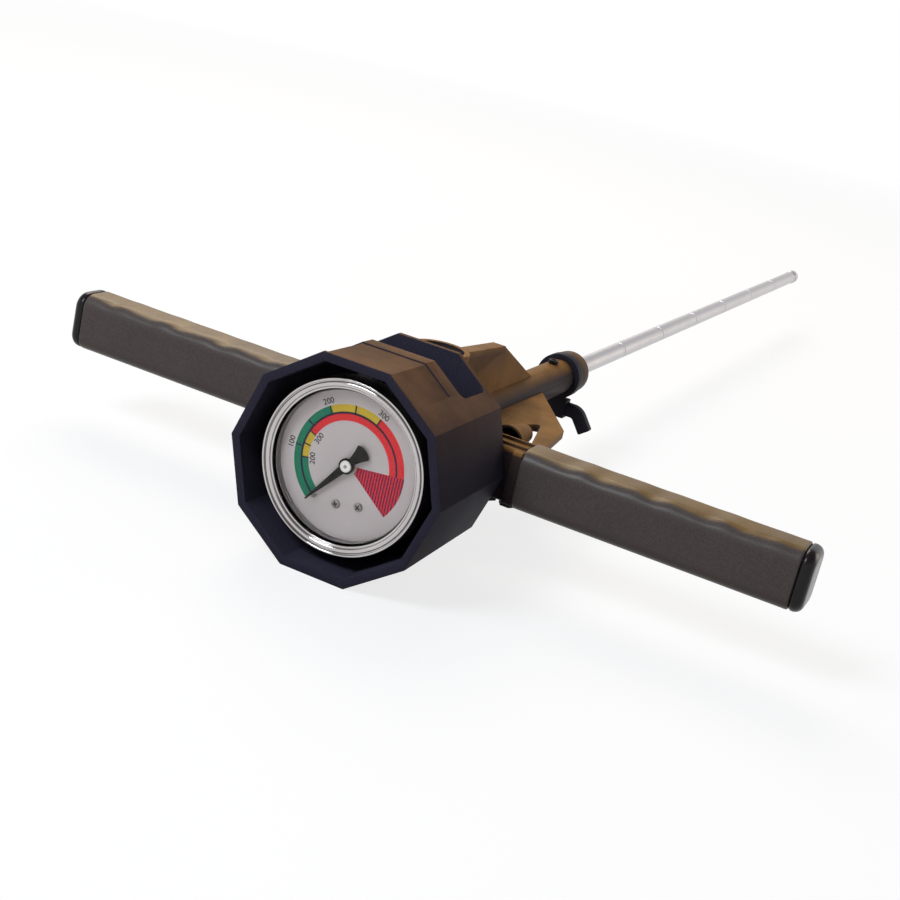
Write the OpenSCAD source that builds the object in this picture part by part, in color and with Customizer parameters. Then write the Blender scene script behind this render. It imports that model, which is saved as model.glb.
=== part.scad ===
// Hand-held soil penetrometer with a hydraulic dial gauge.
// It lies on its ten-sided housing: X runs along the handles, the dial faces -Y,
// the probe rod points along +Y and Z is up. Millimetres.

/* [Housing] */
// Gap between the gauge's bezel and the facets of the housing's wall
bezel_gap = 5.35; // [4:0.05:9]
// How much the corner radius shrinks from the front rim to the rear, the draft of the mould
housing_draft = 1.4; // [0:0.1:2.4]
// Thickness of the side walls
housing_wall = 3.6; // [2.4:0.1:4.5]
// Thickness of the rear plate
rear_plate_t = 3; // [2:0.1:4]
// Length of the proud lip round the front rim
rim_lip_len = 1.6; // [1:0.1:4]
// Depth of the relief in the upper facets
relief_depth = 0.6; // [0.3:0.1:1.2]
// Length of the full band between the relief's step and the wrench slot
step_len = 8.7; // [4:0.1:16]
// Distance from the gauge's back to the wrench slot
slot_setback = 5.2; // [3:0.1:7]
// Corner radius at the ends of the wrench slot
slot_corner_r = 3.4; // [1:0.1:6]

/* [Gauge] */
// Wall of the polished bezel round the gauge case
bezel_wall = 2.65; // [1.6:0.05:4]
// How far the bezel sits behind the front rim
gauge_setback = 6; // [4:0.2:7]
// Length of the bezel ring
bezel_len = 11; // [8:0.2:14]
// Thickness of the bezel's front lip over the lens
bezel_lip_t = 1.8; // [1.4:0.1:3]
// Width of the bezel's front lip, seen from the front
bezel_lip_w = 4.5; // [3.6:0.1:6]
// Outer radius of the drawn gauge case
case_r = 34; // [30:0.1:40]
// Wall of the gauge case
case_wall = 0.8; // [0.5:0.1:1.2]
// Thickness of the case's back
case_back_t = 1.1; // [0.8:0.1:2]
// Depth of the gauge from the bezel's front to the case's back
gauge_depth = 30; // [28:0.2:36]
// Thickness of the lens
lens_t = 1.6; // [1:0.1:3]
// Radial width of the lens gasket
gasket_w = 1.9; // [1:0.1:3]
// Height of the pointer above the dial
pointer_lift = 2.2; // [1.4:0.1:4]
// Gap between the arbor's nose and the lens
nose_gap = 0.42; // [0.3:0.02:1]
// Thickness of the dial plate
dial_t = 0.6; // [0.4:0.1:1.2]
// Hole in the middle of the dial
dial_hole_r = 3; // [2:0.1:5]
// Direction of zero on the dial, counted from the right-hand handle
zero_angle = 232; // [215:1:240]
// Length of the pointer from its hub to its tip
pointer_len = 24.5; // [18:0.5:27]
// Length of the pointer's flared tail
pointer_tail = 11.5; // [8:0.1:13]
// Radius of the pointer's hub
pointer_hub_r = 3.3; // [2:0.1:4]
// Thickness of the pointer
pointer_t = 0.6; // [0.4:0.1:1]

/* [Gauge movement] */
// Radius of the pointer arbor
arbor_r = 0.7; // [0.6:0.05:0.8]
// Thickness of each movement plate
movement_plate_t = 1; // [0.8:0.1:1.4]
// Space between the movement plates
movement_gap = 6; // [5.8:0.1:6.4]
// Gap between the coiled pressure tube and the case's wall
tube_gap = 4.7; // [4:0.1:6]
// Radial width of the pressure tube
tube_flat_w = 3; // [2.4:0.1:3.6]
// Height of the pressure tube along the gauge's axis
tube_flat_h = 8; // [6:0.2:8.4]
// Wall of the pressure tube
tube_flat_wall = 0.4; // [0.3:0.05:0.6]

/* [Hydraulic cell] */
// Outer radius of the cell
cell_r = 17; // [16:0.5:22]
// Length of the gauge stem's square, between the gauge and the cell
square_len = 8; // [6:0.2:14]
// Depth of the port that takes the gauge's stem
port_depth = 8; // [6:0.2:9]
// Radius of that port
port_r = 6.5; // [5:0.1:8]
// Bore of the cell
cell_bore_r = 9; // [8:0.1:10]
// Thickness of the piston
piston_t = 5; // [4.4:0.1:5.4]
// Travel of the rod and piston under load
rod_travel = 3; // [1:0.1:3]
// Room left in front of the piston's nut at full travel
stroke_spare = 1.2; // [0.6:0.1:4]

/* [Frame] */
// Distance from the flange's edge to the housing's facets
flange_inset = 10.3; // [8:0.1:14]
// Thickness of that flange
flange_t = 5; // [4:0.2:7]
// Wall of the guide tube
guide_tube_wall = 2.25; // [1.6:0.05:3]
// Wall of the brass guides that carry the rod in it
guide_wall = 2.2375; // [1.2:0.0125:3]
// Length of the guide tube behind the housing
guide_tube_len = 194.5; // [190:0.5:240]
// Thickness of the top and bottom webs
web_t = 5; // [4:0.2:6]
// Thickness of the bead along their outer edges
web_bead_t = 6.6; // [6.2:0.1:8]
// Width of that bead
web_bead_w = 3; // [2:0.2:4]
// Thickness of the side webs
side_web_t = 3.6; // [3:0.2:5]
// Slant of the rear edge of a side web's window
window_slant = 60; // [50:1:65]
// Length of a web from the housing to its outer corner
web_len = 83; // [80:0.5:95]
// Length of a web from the housing to its tail on the guide tube
web_tail_len = 150; // [130:0.5:170]
// Reach of the top and bottom webs beside the housing
top_web_root = 38.5; // [36:0.5:41]
// Reach of the top and bottom webs at their outer corners
top_web_corner = 32; // [28:0.5:35]
// Gap between the side webs' roots and the inner ends of the grips
side_web_gap = 1.7; // [0.5:0.1:6]
// Reach of the side webs at their outer corners
side_web_corner = 41.5; // [39:0.5:46]
// Rounding of the webs' outer corners
web_corner_r = 3; // [1:0.5:5]
// Bore of the upright pocket for a large cone tip
pocket_bore_r = 10.4; // [8:0.1:12]
// Wall of that pocket
pocket_wall = 2.4; // [1.6:0.1:4]
// Height of the pocket's mouth above the axis
pocket_top = 40; // [36:0.5:42]
// Depth of the pocket's bore
pocket_depth = 22; // [15:0.5:23]
// Mouth of the tapered side sockets for small cone tips
socket_bore_r = 6.7; // [6:0.1:7.5]
// Wall of a side socket at its mouth
socket_wall = 1; // [0.8:0.1:1.6]
// Length of a side socket
socket_len = 20; // [18:0.5:24]
// Depth of a side socket's bore
socket_depth = 16; // [12:0.5:16.5]
// Share of a side socket's size that is left at its end
socket_end_share = 0.6; // [0.5:0.05:0.8]
// Distance of a side socket from the axis
socket_reach = 28.4; // [27:0.2:30]
// Distance from the housing to the mouth of a side socket
socket_mouth = 44.5; // [42:0.5:50]

/* [Handles] */
// Height of a grip
grip_h = 27; // [24:0.5:30]
// Depth of a grip, front to rear
grip_depth = 22; // [18:0.5:24]
// Rounding along a grip's edges
grip_corner_r = 7; // [4:0.5:9]
// How far the handle arms reach beyond the housing's rear corners
arm_reach = 6.1; // [5:0.1:14]
// Length of a grip
grip_len = 122; // [90:1:140]
// Length of an end cap outside the grip
cap_len = 5.5; // [4:0.5:12]
// Height of a handle bar
bar_h = 16; // [12:0.5:17]
// Depth of a handle bar
bar_depth = 12; // [8:0.5:12]
// Wall of a handle bar
bar_wall = 2; // [1.5:0.1:3]
// Height of a handle arm on the frame
arm_h = 24; // [21:0.5:25]
// Depth of a handle arm on the frame
arm_depth = 16; // [14:0.2:20]

/* [Probe rod] */
// Radius of the probe rod
rod_r = 4.7625; // [4.2:0.0125:5]
// Length of the rod outside the end collar, up to the cone
rod_reach = 539; // [300:1:700]
// Spacing of the depth marks, counted from the cone's base
mark_spacing = 76.2; // [50:0.1:100]
// Number of depth marks
mark_count = 6; // [1:1:6]
// Width of a depth mark
mark_w = 1; // [0.5:0.1:2]
// Depth of a depth mark's groove
mark_depth = 0.35; // [0.2:0.05:0.5]
// Base radius of the cone tip
cone_r = 5.3; // [5.1:0.1:12]
// Length of the straight part of the cone tip
cone_shoulder = 7; // [3:0.5:12]
// Included angle of the cone, in degrees
cone_angle = 30; // [20:1:60]

/* [Collar and clip] */
// Wall of the end collar round the guide tube
collar_wall = 2.15; // [1.7:0.05:4]
// Length of the end collar
collar_len = 11; // [10:0.5:24]
// Length of the collar beyond the guide tube
collar_front = 6; // [5:0.2:8]
// Thickness of the clip's band
band_t = 2.95; // [1.5:0.05:5]
// Width of the clip's band along the tube
band_w = 7; // [4:0.2:10]
// Gap between the clip's band and the end collar
band_gap = 1; // [0.4:0.1:4]
// Length of the clip's bent tab
tab_len = 17; // [12:0.5:30]
// Width of the clip's tab
tab_w = 7; // [4:0.2:8]

/* [Fits] */
// Gap between fixed pieces that fit into each other
seat_gap = 0.05; // [0.02:0.01:0.1]
// Gap between running pieces
run_gap = 0.04; // [0.03:0.01:0.06]

/* [Hidden] */
$fn = 64;
// One overrun serves every cut
over = 1;

// Colours
black_nylon = "#25222a";
brown_nylon = "#4a3826";
vinyl_grey = "#45403d";
gloss_black = "#141415";
steel = "#b9bcc0";
bright_steel = "#d4d6da";
brass = "#b5924c";
aluminium = "#a9acb0";
rubber = "#1b1b1c";
dial_grey = "#b3aba8";
clear_lens = [0.85, 0.9, 0.92, 0.3];

// The ten-sided housing, built out from the gauge
sides = 10;
facet_turn = 360 / sides;
flat_share = cos(facet_turn / 2);
bezel_r = case_r + seat_gap + bezel_wall;
housing_flat = bezel_r + bezel_gap + housing_wall;
housing_r = housing_flat / flat_share;
housing_rear_r = housing_r - housing_draft;
facet_half = housing_r * sin(facet_turn / 2);
slot_end_share = 0.3;
relief_end_share = 0.14;
rod_clearance = 0.6;
rod_hole_r = rod_r + rod_clearance;

// Places along the axis, counted from the front rim
lens_front = gauge_setback + bezel_lip_t;
lens_back = lens_front + lens_t;
arbor_nose = pointer_t * 1.3;
pointer_front = lens_back + nose_gap + arbor_nose;
dial_front = pointer_front + pointer_lift;
dial_back = dial_front + dial_t;
case_back = gauge_setback + gauge_depth;
case_floor = case_back - case_back_t;
slot_start = case_back + slot_setback;
relief_end = slot_start - step_len;
cell_front = case_back + square_len;
chamber_front = cell_front + port_depth;
nut_h = 2.8;
piston_front = chamber_front + stroke_spare + rod_travel + nut_h;
piston_back = piston_front + piston_t;
piston_rest_gap = 0.5;
plate_front = piston_back + piston_rest_gap;
cell_len = plate_front - cell_front;
housing_len = plate_front + rear_plate_t;
tube_end = housing_len + guide_tube_len;
collar_end = tube_end + collar_front;
rod_end = collar_end + rod_reach;
cone_len = cone_r / tan(cone_angle / 2);
overall_len = rod_end + cone_shoulder + cone_len;
handle_axis = housing_len + arm_depth / 2;
grip_start = housing_rear_r + arm_reach;
bar_section = [bar_depth, bar_h];

// Radii of the frame, the collar and the clip, built out from the rod
guide_bore_r = rod_r + guide_wall;
guide_tube_r = guide_bore_r + guide_tube_wall;
collar_r = guide_tube_r + collar_wall;
band_r = guide_tube_r + band_t;
flange_r = housing_rear_r * flat_share - flange_inset;
side_web_root = grip_start - side_web_gap;
pocket_r = pocket_bore_r + pocket_wall;
socket_r = socket_bore_r + socket_wall;

// Lens, dial and case radii
case_bore_r = case_r - case_wall;
lens_r = case_r - seat_gap;
gasket_r = case_bore_r - seat_gap;
bezel_hole_r = bezel_r - bezel_lip_w;

// Gauge movement: the sector is a piece of a wheel of ninety teeth
pinion_teeth = 10;
sector_wheel_teeth = 90;
sector_teeth = 10;
sector_swing = 28;
tube_coil_r = case_bore_r - tube_gap - tube_flat_w / 2;
sector_pitch_r = tube_coil_r / 2;
tooth_module = 2 * sector_pitch_r / sector_wheel_teeth;
sector_tail = sector_pitch_r / 3;
pinion_pitch_r = tooth_module * pinion_teeth / 2;
gear_centres = pinion_pitch_r + sector_pitch_r;
addendum_share = 0.8;
dedendum_share = 1.2;
tooth_addendum = tooth_module * addendum_share;
tooth_dedendum = tooth_module * dedendum_share;
tooth_turn = 360 / sector_wheel_teeth;
tooth_root_share = 0.66;
tooth_tip_share = 0.22;
movement_setback = 1.8;
plates_front = dial_back + movement_setback;
plates_back = plates_front + 2 * movement_plate_t + movement_gap;
gear_place_share = 0.42;
gear_front = plates_front + movement_plate_t + movement_gap * gear_place_share;
gear_t = 1.5;
link_t = 1;
link_gap = 0.2;
link_front = gear_front - link_gap - link_t;
link_pin_r = 0.6;
link_hole_gap = 0.2;
sector_pin_r = 0.9;
sector_hub_r = 2.2;
rest_lean = sector_swing / 2;
tip_angle = 150;
tip_len = 5;
tip_turn = asin(tip_len / tube_coil_r);

// Gauge stem
square_shoulder = 1;
stem_square = 2 * (port_r + square_shoulder);
block_w = 14;
block_top = 8;
block_bottom = tube_coil_r + tube_flat_w;
block_t = case_floor - plates_back;
root_h = 10;
tube_front = link_front + link_t + link_gap * 2;
dial_post_r = 2;
dial_screw_reach = 17.4;
dial_screw_angles = [-96, -62];
screw_shank_r = 0.9;
case_screw_x = 4.4;
case_screw_z = -14;

// Screw sizes
screw_edge = 4.5;
housing_screw_reach = flange_r - screw_edge;
housing_screw_r = 2;
cell_screw_reach = (cell_r + cell_bore_r) / 2;
cell_screw_r = 1.5;
cell_screw_depth = 7;
head_share = 1.75;
bolt_r = 2.5;
bolt_edge = 4.7;
bolt_spacing = 9.5;
bolt_outer = grip_start - bolt_edge;
bolt_inner = bolt_outer - bolt_spacing;
bolt_places = [bolt_inner, bolt_outer];
bolt_head_h = 3.2;

// Stop pin, just past the pointer at rest, and the rubber filling plug
stop_pin_r = 0.6;
stop_pin_reach_share = 0.85;
stop_pin_reach = pointer_len * stop_pin_reach_share;
stop_pin_angle = zero_angle + asin((stop_pin_r + pointer_t + run_gap) / stop_pin_reach);
fill_plug_r = 4;
plug_place = (plates_back + case_floor) / 2;

// Inside the hydraulic cell
bleed_screw_r = 1.5;
bleed_place = chamber_front + bleed_screw_r * 2;
spring_wire_r = 0.6;
spring_clearance = 1.4;
spring_coil_r = cell_bore_r - spring_clearance - spring_wire_r;
spring_turns = 3;
ring_count = 16 * spring_turns;
ring_sides = 8;
groove_w = 2;
groove_depth = 1.5;
stud_r = 2.95;
tip_stud_len = 10;

// Set screw in the guide tube and the guides
guide_len = 16;
rear_guide_len = 29;
set_screw_r = 1.5;
set_screw_head_h = 2;
set_screw_back = 26;
set_screw_place = tube_end - set_screw_back;
wiper_t = 2.8;
wiper_seat = 3;
wiper_w = 3.1375;
wiper_r = rod_r + wiper_w;

// Clip
band_front = tube_end + collar_front - collar_len - band_gap - band_w;
clip_block = [11, 10];
clip_sink = 0.7;
clip_drop = band_r - clip_sink;
clip_bend = 53;

// Places a piece given in the axis frame so that the part lies on Z = 0, centred
module place() {
    translate([0, -overall_len / 2, housing_flat]) children();
}

// Turns a piece that is modelled along Z to run along the axis from depth d
module along(d) {
    translate([0, d, 0]) rotate([-90, 0, 0]) children();
}

// Extrudes an outline, drawn as seen from the front, from depth d over length h
module plate(d, h) {
    translate([0, d + h, 0]) rotate([90, 0, 0]) linear_extrude(h) children();
}

// Extrudes an outline of depth and height along X from x0 to x1
module bar(x0, x1) {
    translate([x0, 0, 0]) rotate([90, 0, 90]) linear_extrude(x1 - x0) children();
}

// Revolves a profile of radius and depth about the axis
module turned(profile) {
    rotate([-90, 0, 0]) rotate_extrude() polygon(profile);
}

module rounded(w, h, r) {
    square([w - 2 * r, h], center = true);
    square([w, h - 2 * r], center = true);
    for (x = [-1, 1], y = [-1, 1]) {
        translate([x * (w / 2 - r), y * (h / 2 - r)]) circle(r);
    }
}

module both_sides() {
    children();
    mirror([1, 0, 0]) children();
}

function polar(r, a) = [r * cos(a), r * sin(a)];

// Housing

function corner_r(inset) = housing_r - inset / flat_share;
function rear_corner_r(inset) = housing_rear_r - inset / flat_share;

module housing_body(inset, d0, d1) {
    r0 = corner_r(inset);
    slope = (rear_corner_r(inset) - r0) / housing_len;
    along(d0) cylinder(r1 = r0 + slope * d0, r2 = r0 + slope * d1, h = d1 - d0, $fn = sides);
}

// Shallow relief that the upper facets have between the lip and the step
module facet_relief() {
    edge_angle = 90 - facet_turn - atan(relief_end_share * tan(facet_turn / 2));
    reach = housing_r * 2;
    intersection() {
        difference() {
            housing_body(-over, rim_lip_len, relief_end);
            housing_body(relief_depth, rim_lip_len - over, relief_end + over);
        }
        plate(rim_lip_len, relief_end - rim_lip_len)
            polygon([[0, 0], polar(reach, edge_angle), polar(reach, 180 - edge_angle)]);
    }
}

// Wrench slot, drawn straight up through the top facet and past the middle of its two neighbours
module wrench_slot() {
    slot_len = plate_front - slot_start;
    slot_half = housing_flat * sin(facet_turn) + facet_half * slot_end_share * cos(facet_turn);
    translate([0, slot_start + slot_len / 2, housing_flat * cos(facet_turn) / 2])
        linear_extrude(housing_r) rounded(2 * slot_half, slot_len, slot_corner_r);
}

module screw_ring(reach, d) {
    for (a = [45:90:315]) {
        p = polar(reach, a);
        translate([p[0], 0, p[1]]) along(d) children();
    }
}

module gauge_housing() {
    color(black_nylon) place() difference() {
        housing_body(0, 0, housing_len);
        housing_body(housing_wall, -over, plate_front);
        facet_relief();
        wrench_slot();
        along(plate_front - over) cylinder(r = rod_hole_r, h = rear_plate_t + 2 * over);
        screw_ring(housing_screw_reach, plate_front - over)
            cylinder(r = housing_screw_r + seat_gap, h = rear_plate_t + 2 * over);
        screw_ring(cell_screw_reach, plate_front - over)
            cylinder(r = cell_screw_r + seat_gap, h = rear_plate_t + 2 * over);
    }
}

module housing_screws() {
    head_h = housing_screw_r * 1.2;
    color(steel) place() screw_ring(housing_screw_reach, plate_front - head_h) {
        cylinder(r = housing_screw_r * head_share, h = head_h);
        cylinder(r = housing_screw_r, h = head_h + rear_plate_t + flange_t * 0.8);
    }
}

module cell_screws() {
    shank = flange_t + rear_plate_t + cell_screw_depth;
    start = housing_len + flange_t - shank;
    color(steel) place() screw_ring(cell_screw_reach, start) {
        cylinder(r = cell_screw_r, h = shank);
        translate([0, 0, shank]) cylinder(r = cell_screw_r * head_share, h = cell_screw_r * 1.6);
    }
}

// Frame

module top_web_outline() {
    offset(r = web_corner_r, $fn = 24) offset(delta = -web_corner_r) polygon([
        [housing_len, -top_web_root],
        [housing_len, top_web_root],
        [housing_len + web_len, top_web_corner],
        [housing_len + web_tail_len, 0],
        [housing_len + web_len, -top_web_corner]
    ]);
}

module side_web_outline() {
    offset(r = web_corner_r, $fn = 24) offset(delta = -web_corner_r) polygon([
        [-side_web_root, housing_len],
        [side_web_root, housing_len],
        [side_web_corner, housing_len + web_len],
        [0, housing_len + web_tail_len],
        [-side_web_corner, housing_len + web_len]
    ]);
}

// Opening in a side web, round the tip socket
module web_window() {
    inner = socket_reach - socket_r * 0.7;
    nose = socket_reach + socket_r * 0.25;
    outer = side_web_root - web_bead_w * 1.6;
    front = handle_axis + arm_depth / 2 + web_bead_w;
    back = housing_len + web_len - web_bead_w / 2;
    offset(r = web_corner_r / 2, $fn = 24) offset(delta = -web_corner_r / 2) polygon([
        [inner, front],
        [outer, front],
        [nose, back],
        [inner, back - (nose - inner) * tan(window_slant)]
    ]);
}

module web_bead() {
    intersection() {
        difference() {
            top_web_outline();
            offset(delta = -web_bead_w) top_web_outline();
        }
        translate([housing_len, -top_web_root]) square([web_len, top_web_root * 2]);
    }
}

module top_webs() {
    rotate([90, 0, 90]) {
        linear_extrude(web_t, center = true) top_web_outline();
        linear_extrude(web_bead_t, center = true) web_bead();
    }
}

module side_webs() {
    linear_extrude(side_web_t, center = true) difference() {
        side_web_outline();
        both_sides() web_window();
    }
}

module handle_arm() {
    arm_start = guide_tube_r + bar_wall * 1.5;
    arm_stop = grip_start - seat_gap;
    stop_len = grip_start - housing_rear_r - bar_wall;
    rib_w = bar_wall * 0.6;
    translate([0, handle_axis, 0]) {
        bar(arm_start, arm_stop) rounded(arm_depth, arm_h, bar_wall);
        bar(arm_stop - stop_len, arm_stop) rounded(grip_depth - bar_wall / 2, arm_h, bar_wall);
        for (y = [-1, 1]) translate([arm_start, y * arm_depth / 4 - rib_w / 2, 0])
            cube([arm_stop - arm_start, rib_w, arm_h / 2 + rib_w]);
    }
}

module bar_hole() {
    hole_start = guide_tube_r + bar_wall * 2.5;
    translate([0, handle_axis, 0])
        bar(hole_start, grip_start + over) square(bar_section + 2 * seat_gap * [1, 1], center = true);
}

module bolt_holes() {
    for (x = bolt_places) translate([x, handle_axis, -arm_h / 2 - over])
        cylinder(r = bolt_r + seat_gap, h = arm_h / 2 + over);
}

module tip_socket() {
    translate([socket_reach, 0, 0]) along(housing_len + socket_mouth)
        cylinder(r1 = socket_r, r2 = socket_r * socket_end_share, h = socket_len);
}

module frame_casting() {
    pocket_axis = housing_len + pocket_r;
    pocket_floor = pocket_top - pocket_depth;
    color(brown_nylon) place() difference() {
        union() {
            along(housing_len) cylinder(r = flange_r, h = flange_t);
            along(housing_len) cylinder(r = guide_tube_r, h = guide_tube_len);
            intersection() {
                top_webs();
                along(housing_len) cylinder(r = top_web_root * 2, h = guide_tube_len);
            }
            side_webs();
            both_sides() handle_arm();
            both_sides() tip_socket();
            translate([0, pocket_axis, pocket_floor - web_bead_w])
                cylinder(r = pocket_r, h = pocket_depth + web_bead_w);
        }
        along(housing_len - over) cylinder(r = guide_bore_r, h = guide_tube_len + 2 * over);
        translate([0, pocket_axis, pocket_floor]) cylinder(r = pocket_bore_r, h = pocket_depth + over);
        both_sides() translate([socket_reach, 0, 0]) along(housing_len + socket_mouth - over)
            cylinder(r1 = socket_bore_r, r2 = socket_bore_r * socket_end_share, h = socket_depth + over);
        both_sides() bar_hole();
        both_sides() bolt_holes();
        screw_ring(housing_screw_reach, housing_len - over)
            cylinder(r = housing_screw_r + seat_gap, h = flange_t + 2 * over);
        screw_ring(cell_screw_reach, housing_len - over)
            cylinder(r = cell_screw_r + seat_gap, h = flange_t + 2 * over);
        translate([0, set_screw_place, 0]) cylinder(r = set_screw_r + seat_gap, h = guide_tube_r * 2);
    }
}

module front_guide() {
    color(brass) place() turned([
        [rod_r + run_gap, housing_len],
        [guide_bore_r - seat_gap, housing_len],
        [guide_bore_r - seat_gap, housing_len + guide_len],
        [rod_r + run_gap, housing_len + guide_len]
    ]);
}

module rear_guide() {
    color(brass) place() turned([
        [rod_r + run_gap, tube_end - rear_guide_len],
        [guide_bore_r - seat_gap, tube_end - rear_guide_len],
        [guide_bore_r - seat_gap, tube_end],
        [rod_r + run_gap, tube_end]
    ]);
}

module guide_set_screw() {
    head_r = set_screw_r * head_share;
    color(rubber) place() translate([0, set_screw_place, 0]) {
        translate([0, 0, guide_bore_r]) cylinder(r = set_screw_r, h = guide_tube_r - guide_bore_r);
        translate([0, 0, guide_tube_r]) difference() {
            cylinder(r = head_r, h = set_screw_head_h);
            translate([0, 0, set_screw_head_h / 2])
                cylinder(r = set_screw_r, h = set_screw_head_h, $fn = 6);
        }
    }
}

module end_collar() {
    edge = collar_front / 4;
    color(black_nylon) place() turned([
        [guide_tube_r + seat_gap, collar_end - collar_len],
        [collar_r - edge, collar_end - collar_len],
        [collar_r, collar_end - collar_len + edge],
        [collar_r, collar_end - edge],
        [collar_r - edge, collar_end],
        [rod_hole_r, collar_end],
        [rod_hole_r, tube_end + wiper_seat],
        [wiper_r + seat_gap, tube_end + wiper_seat],
        [wiper_r + seat_gap, tube_end],
        [guide_tube_r + seat_gap, tube_end]
    ]);
}

module rod_wiper() {
    lip = run_gap * 2;
    color(rubber) place() turned([
        [rod_r + lip, tube_end + wiper_seat],
        [wiper_r, tube_end + wiper_seat],
        [wiper_r, tube_end + wiper_seat - wiper_t],
        [rod_r + lip * 6, tube_end + wiper_seat - wiper_t]
    ]);
}

// Clip on the guide tube

module clip_band() {
    color(gloss_black) place() difference() {
        union() {
            along(band_front) cylinder(r = band_r, h = band_w);
            translate([-clip_block[0] / 4, band_front, -clip_drop - clip_block[1]])
                cube([clip_block[0], band_w, clip_block[1]]);
        }
        along(band_front - over) cylinder(r = guide_tube_r + seat_gap, h = band_w + 2 * over);
    }
}

// Bent tab of the clip, on the band's block
module clip_tab() {
    start = clip_block[0] * 0.75;
    mid_z = -clip_drop - clip_block[1] / 2;
    edge = band_w / 8;
    elbow = tab_len / 3;
    half = tab_w / 2;
    mitre = half * tan(clip_bend / 2);
    tip = [elbow, 0] + polar(tab_len - elbow, -clip_bend);
    side = polar(half, 90 - clip_bend);
    color(gloss_black) place() translate([start, 0, mid_z]) plate(band_front + edge, band_w - 2 * edge)
        polygon([
            [0, -half],
            [elbow - mitre, -half],
            tip - side,
            tip + side,
            [elbow + mitre, half],
            [0, half]
        ]);
}

// Handles

module right_bar_body() {
    hole_start = guide_tube_r + bar_wall * 2.5 + seat_gap;
    difference() {
        translate([0, handle_axis, 0])
            bar(hole_start, grip_start + grip_len) square(bar_section, center = true);
        translate([0, handle_axis, 0]) bar(grip_start, grip_start + grip_len + over)
            square(bar_section - 2 * bar_wall * [1, 1], center = true);
        for (x = bolt_places) translate([x, handle_axis, -bar_h])
            cylinder(r = bolt_r + seat_gap, h = bar_h + bar_wall * 2);
    }
}

module right_handle_bar() {
    color(steel) place() right_bar_body();
}

module left_handle_bar() {
    color(steel) place() mirror([1, 0, 0]) right_bar_body();
}

module right_grip_body() {
    translate([0, handle_axis, 0]) bar(grip_start, grip_start + grip_len) difference() {
        rounded(grip_depth, grip_h, grip_corner_r);
        square(bar_section + 2 * seat_gap * [1, 1], center = true);
    }
}

module right_grip() {
    color(vinyl_grey) place() right_grip_body();
}

module left_grip() {
    color(vinyl_grey) place() mirror([1, 0, 0]) right_grip_body();
}

// Domed cap with a plug that enters the hollow bar
module right_cap_body() {
    cap_start = grip_start + grip_len + seat_gap;
    plug = bar_section - 2 * (bar_wall + seat_gap) * [1, 1];
    dome = cap_len * 0.4;
    translate([0, handle_axis, 0]) {
        hull() {
            bar(cap_start, cap_start + cap_len - dome)
                rounded(grip_depth, grip_h, grip_corner_r, $fn = 32);
            bar(cap_start, cap_start + cap_len)
                rounded(grip_depth - 2 * dome, grip_h - 2 * dome, grip_corner_r - dome, $fn = 32);
        }
        bar(cap_start - cap_len, cap_start) square(plug, center = true);
    }
}

module right_end_cap() {
    color(gloss_black) place() right_cap_body();
}

module left_end_cap() {
    color(gloss_black) place() mirror([1, 0, 0]) right_cap_body();
}

module handle_bolts() {
    color(steel) place() both_sides() for (x = bolt_places) translate([x, handle_axis, -arm_h / 2]) {
        translate([0, 0, -bolt_head_h]) cylinder(r = bolt_r * 1.6, h = bolt_head_h, $fn = 6);
        cylinder(r = bolt_r, h = (arm_h - bar_h) / 2 + bar_h * 0.4);
    }
}

// Gauge

module gauge_case() {
    rim = lens_back;
    color(gloss_black) place() difference() {
        turned([
            [0, case_back],
            [case_r - case_wall, case_back],
            [case_r, case_back - case_wall],
            [case_r, rim],
            [case_bore_r, rim],
            [case_bore_r, case_floor],
            [0, case_floor]
        ]);
        along(case_floor - over) cylinder(r = port_r, h = case_back_t + 2 * over);
        for (x = [-1, 1]) translate([x * case_screw_x, 0, case_screw_z]) along(case_floor - over)
            cylinder(r = screw_shank_r + seat_gap, h = case_back_t + 2 * over);
        translate([0, plug_place, 0]) cylinder(r = fill_plug_r + seat_gap, h = case_r + over);
    }
}

module fill_plug() {
    lip = fill_plug_r * 0.3;
    color(rubber) place() translate([0, plug_place, 0]) difference() {
        union() {
            translate([0, 0, case_bore_r - lip]) cylinder(r = fill_plug_r, h = lip + case_wall + lip);
            translate([0, 0, case_r]) cylinder(r = fill_plug_r + lip, h = lip);
        }
        translate([0, 0, case_r + lip / 2]) cylinder(r = fill_plug_r / 2, h = lip);
    }
}

// Bezel: a rolled ring whose lip holds the lens
module gauge_bezel() {
    roll = bezel_lip_t * 0.7;
    color(bright_steel) place() turned([
        [bezel_hole_r, lens_front],
        [bezel_hole_r, lens_front - bezel_lip_t * 0.5],
        [bezel_hole_r + roll * 0.5, gauge_setback + roll * 0.2],
        [bezel_hole_r + roll, gauge_setback],
        [bezel_r - roll * 1.2, gauge_setback],
        [bezel_r - roll * 0.4, gauge_setback + roll * 0.35],
        [bezel_r, gauge_setback + roll * 1.1],
        [bezel_r, gauge_setback + bezel_len],
        [case_r + seat_gap, gauge_setback + bezel_len],
        [case_r + seat_gap, lens_front]
    ]);
}

module gauge_lens() {
    color(clear_lens) place() along(lens_front) cylinder(r = lens_r, h = lens_t);
}

module lens_gasket() {
    color(rubber) place() turned([
        [gasket_r - gasket_w, lens_back],
        [gasket_r, lens_back],
        [gasket_r, dial_front],
        [gasket_r - gasket_w, dial_front]
    ]);
}

module dial_screw_places(d) {
    for (a = dial_screw_angles) {
        p = polar(dial_screw_reach, a);
        translate([p[0], 0, p[1]]) along(d) children();
    }
}

module stop_pin_place(d) {
    p = polar(stop_pin_reach, stop_pin_angle);
    translate([p[0], 0, p[1]]) along(d) children();
}

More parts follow.
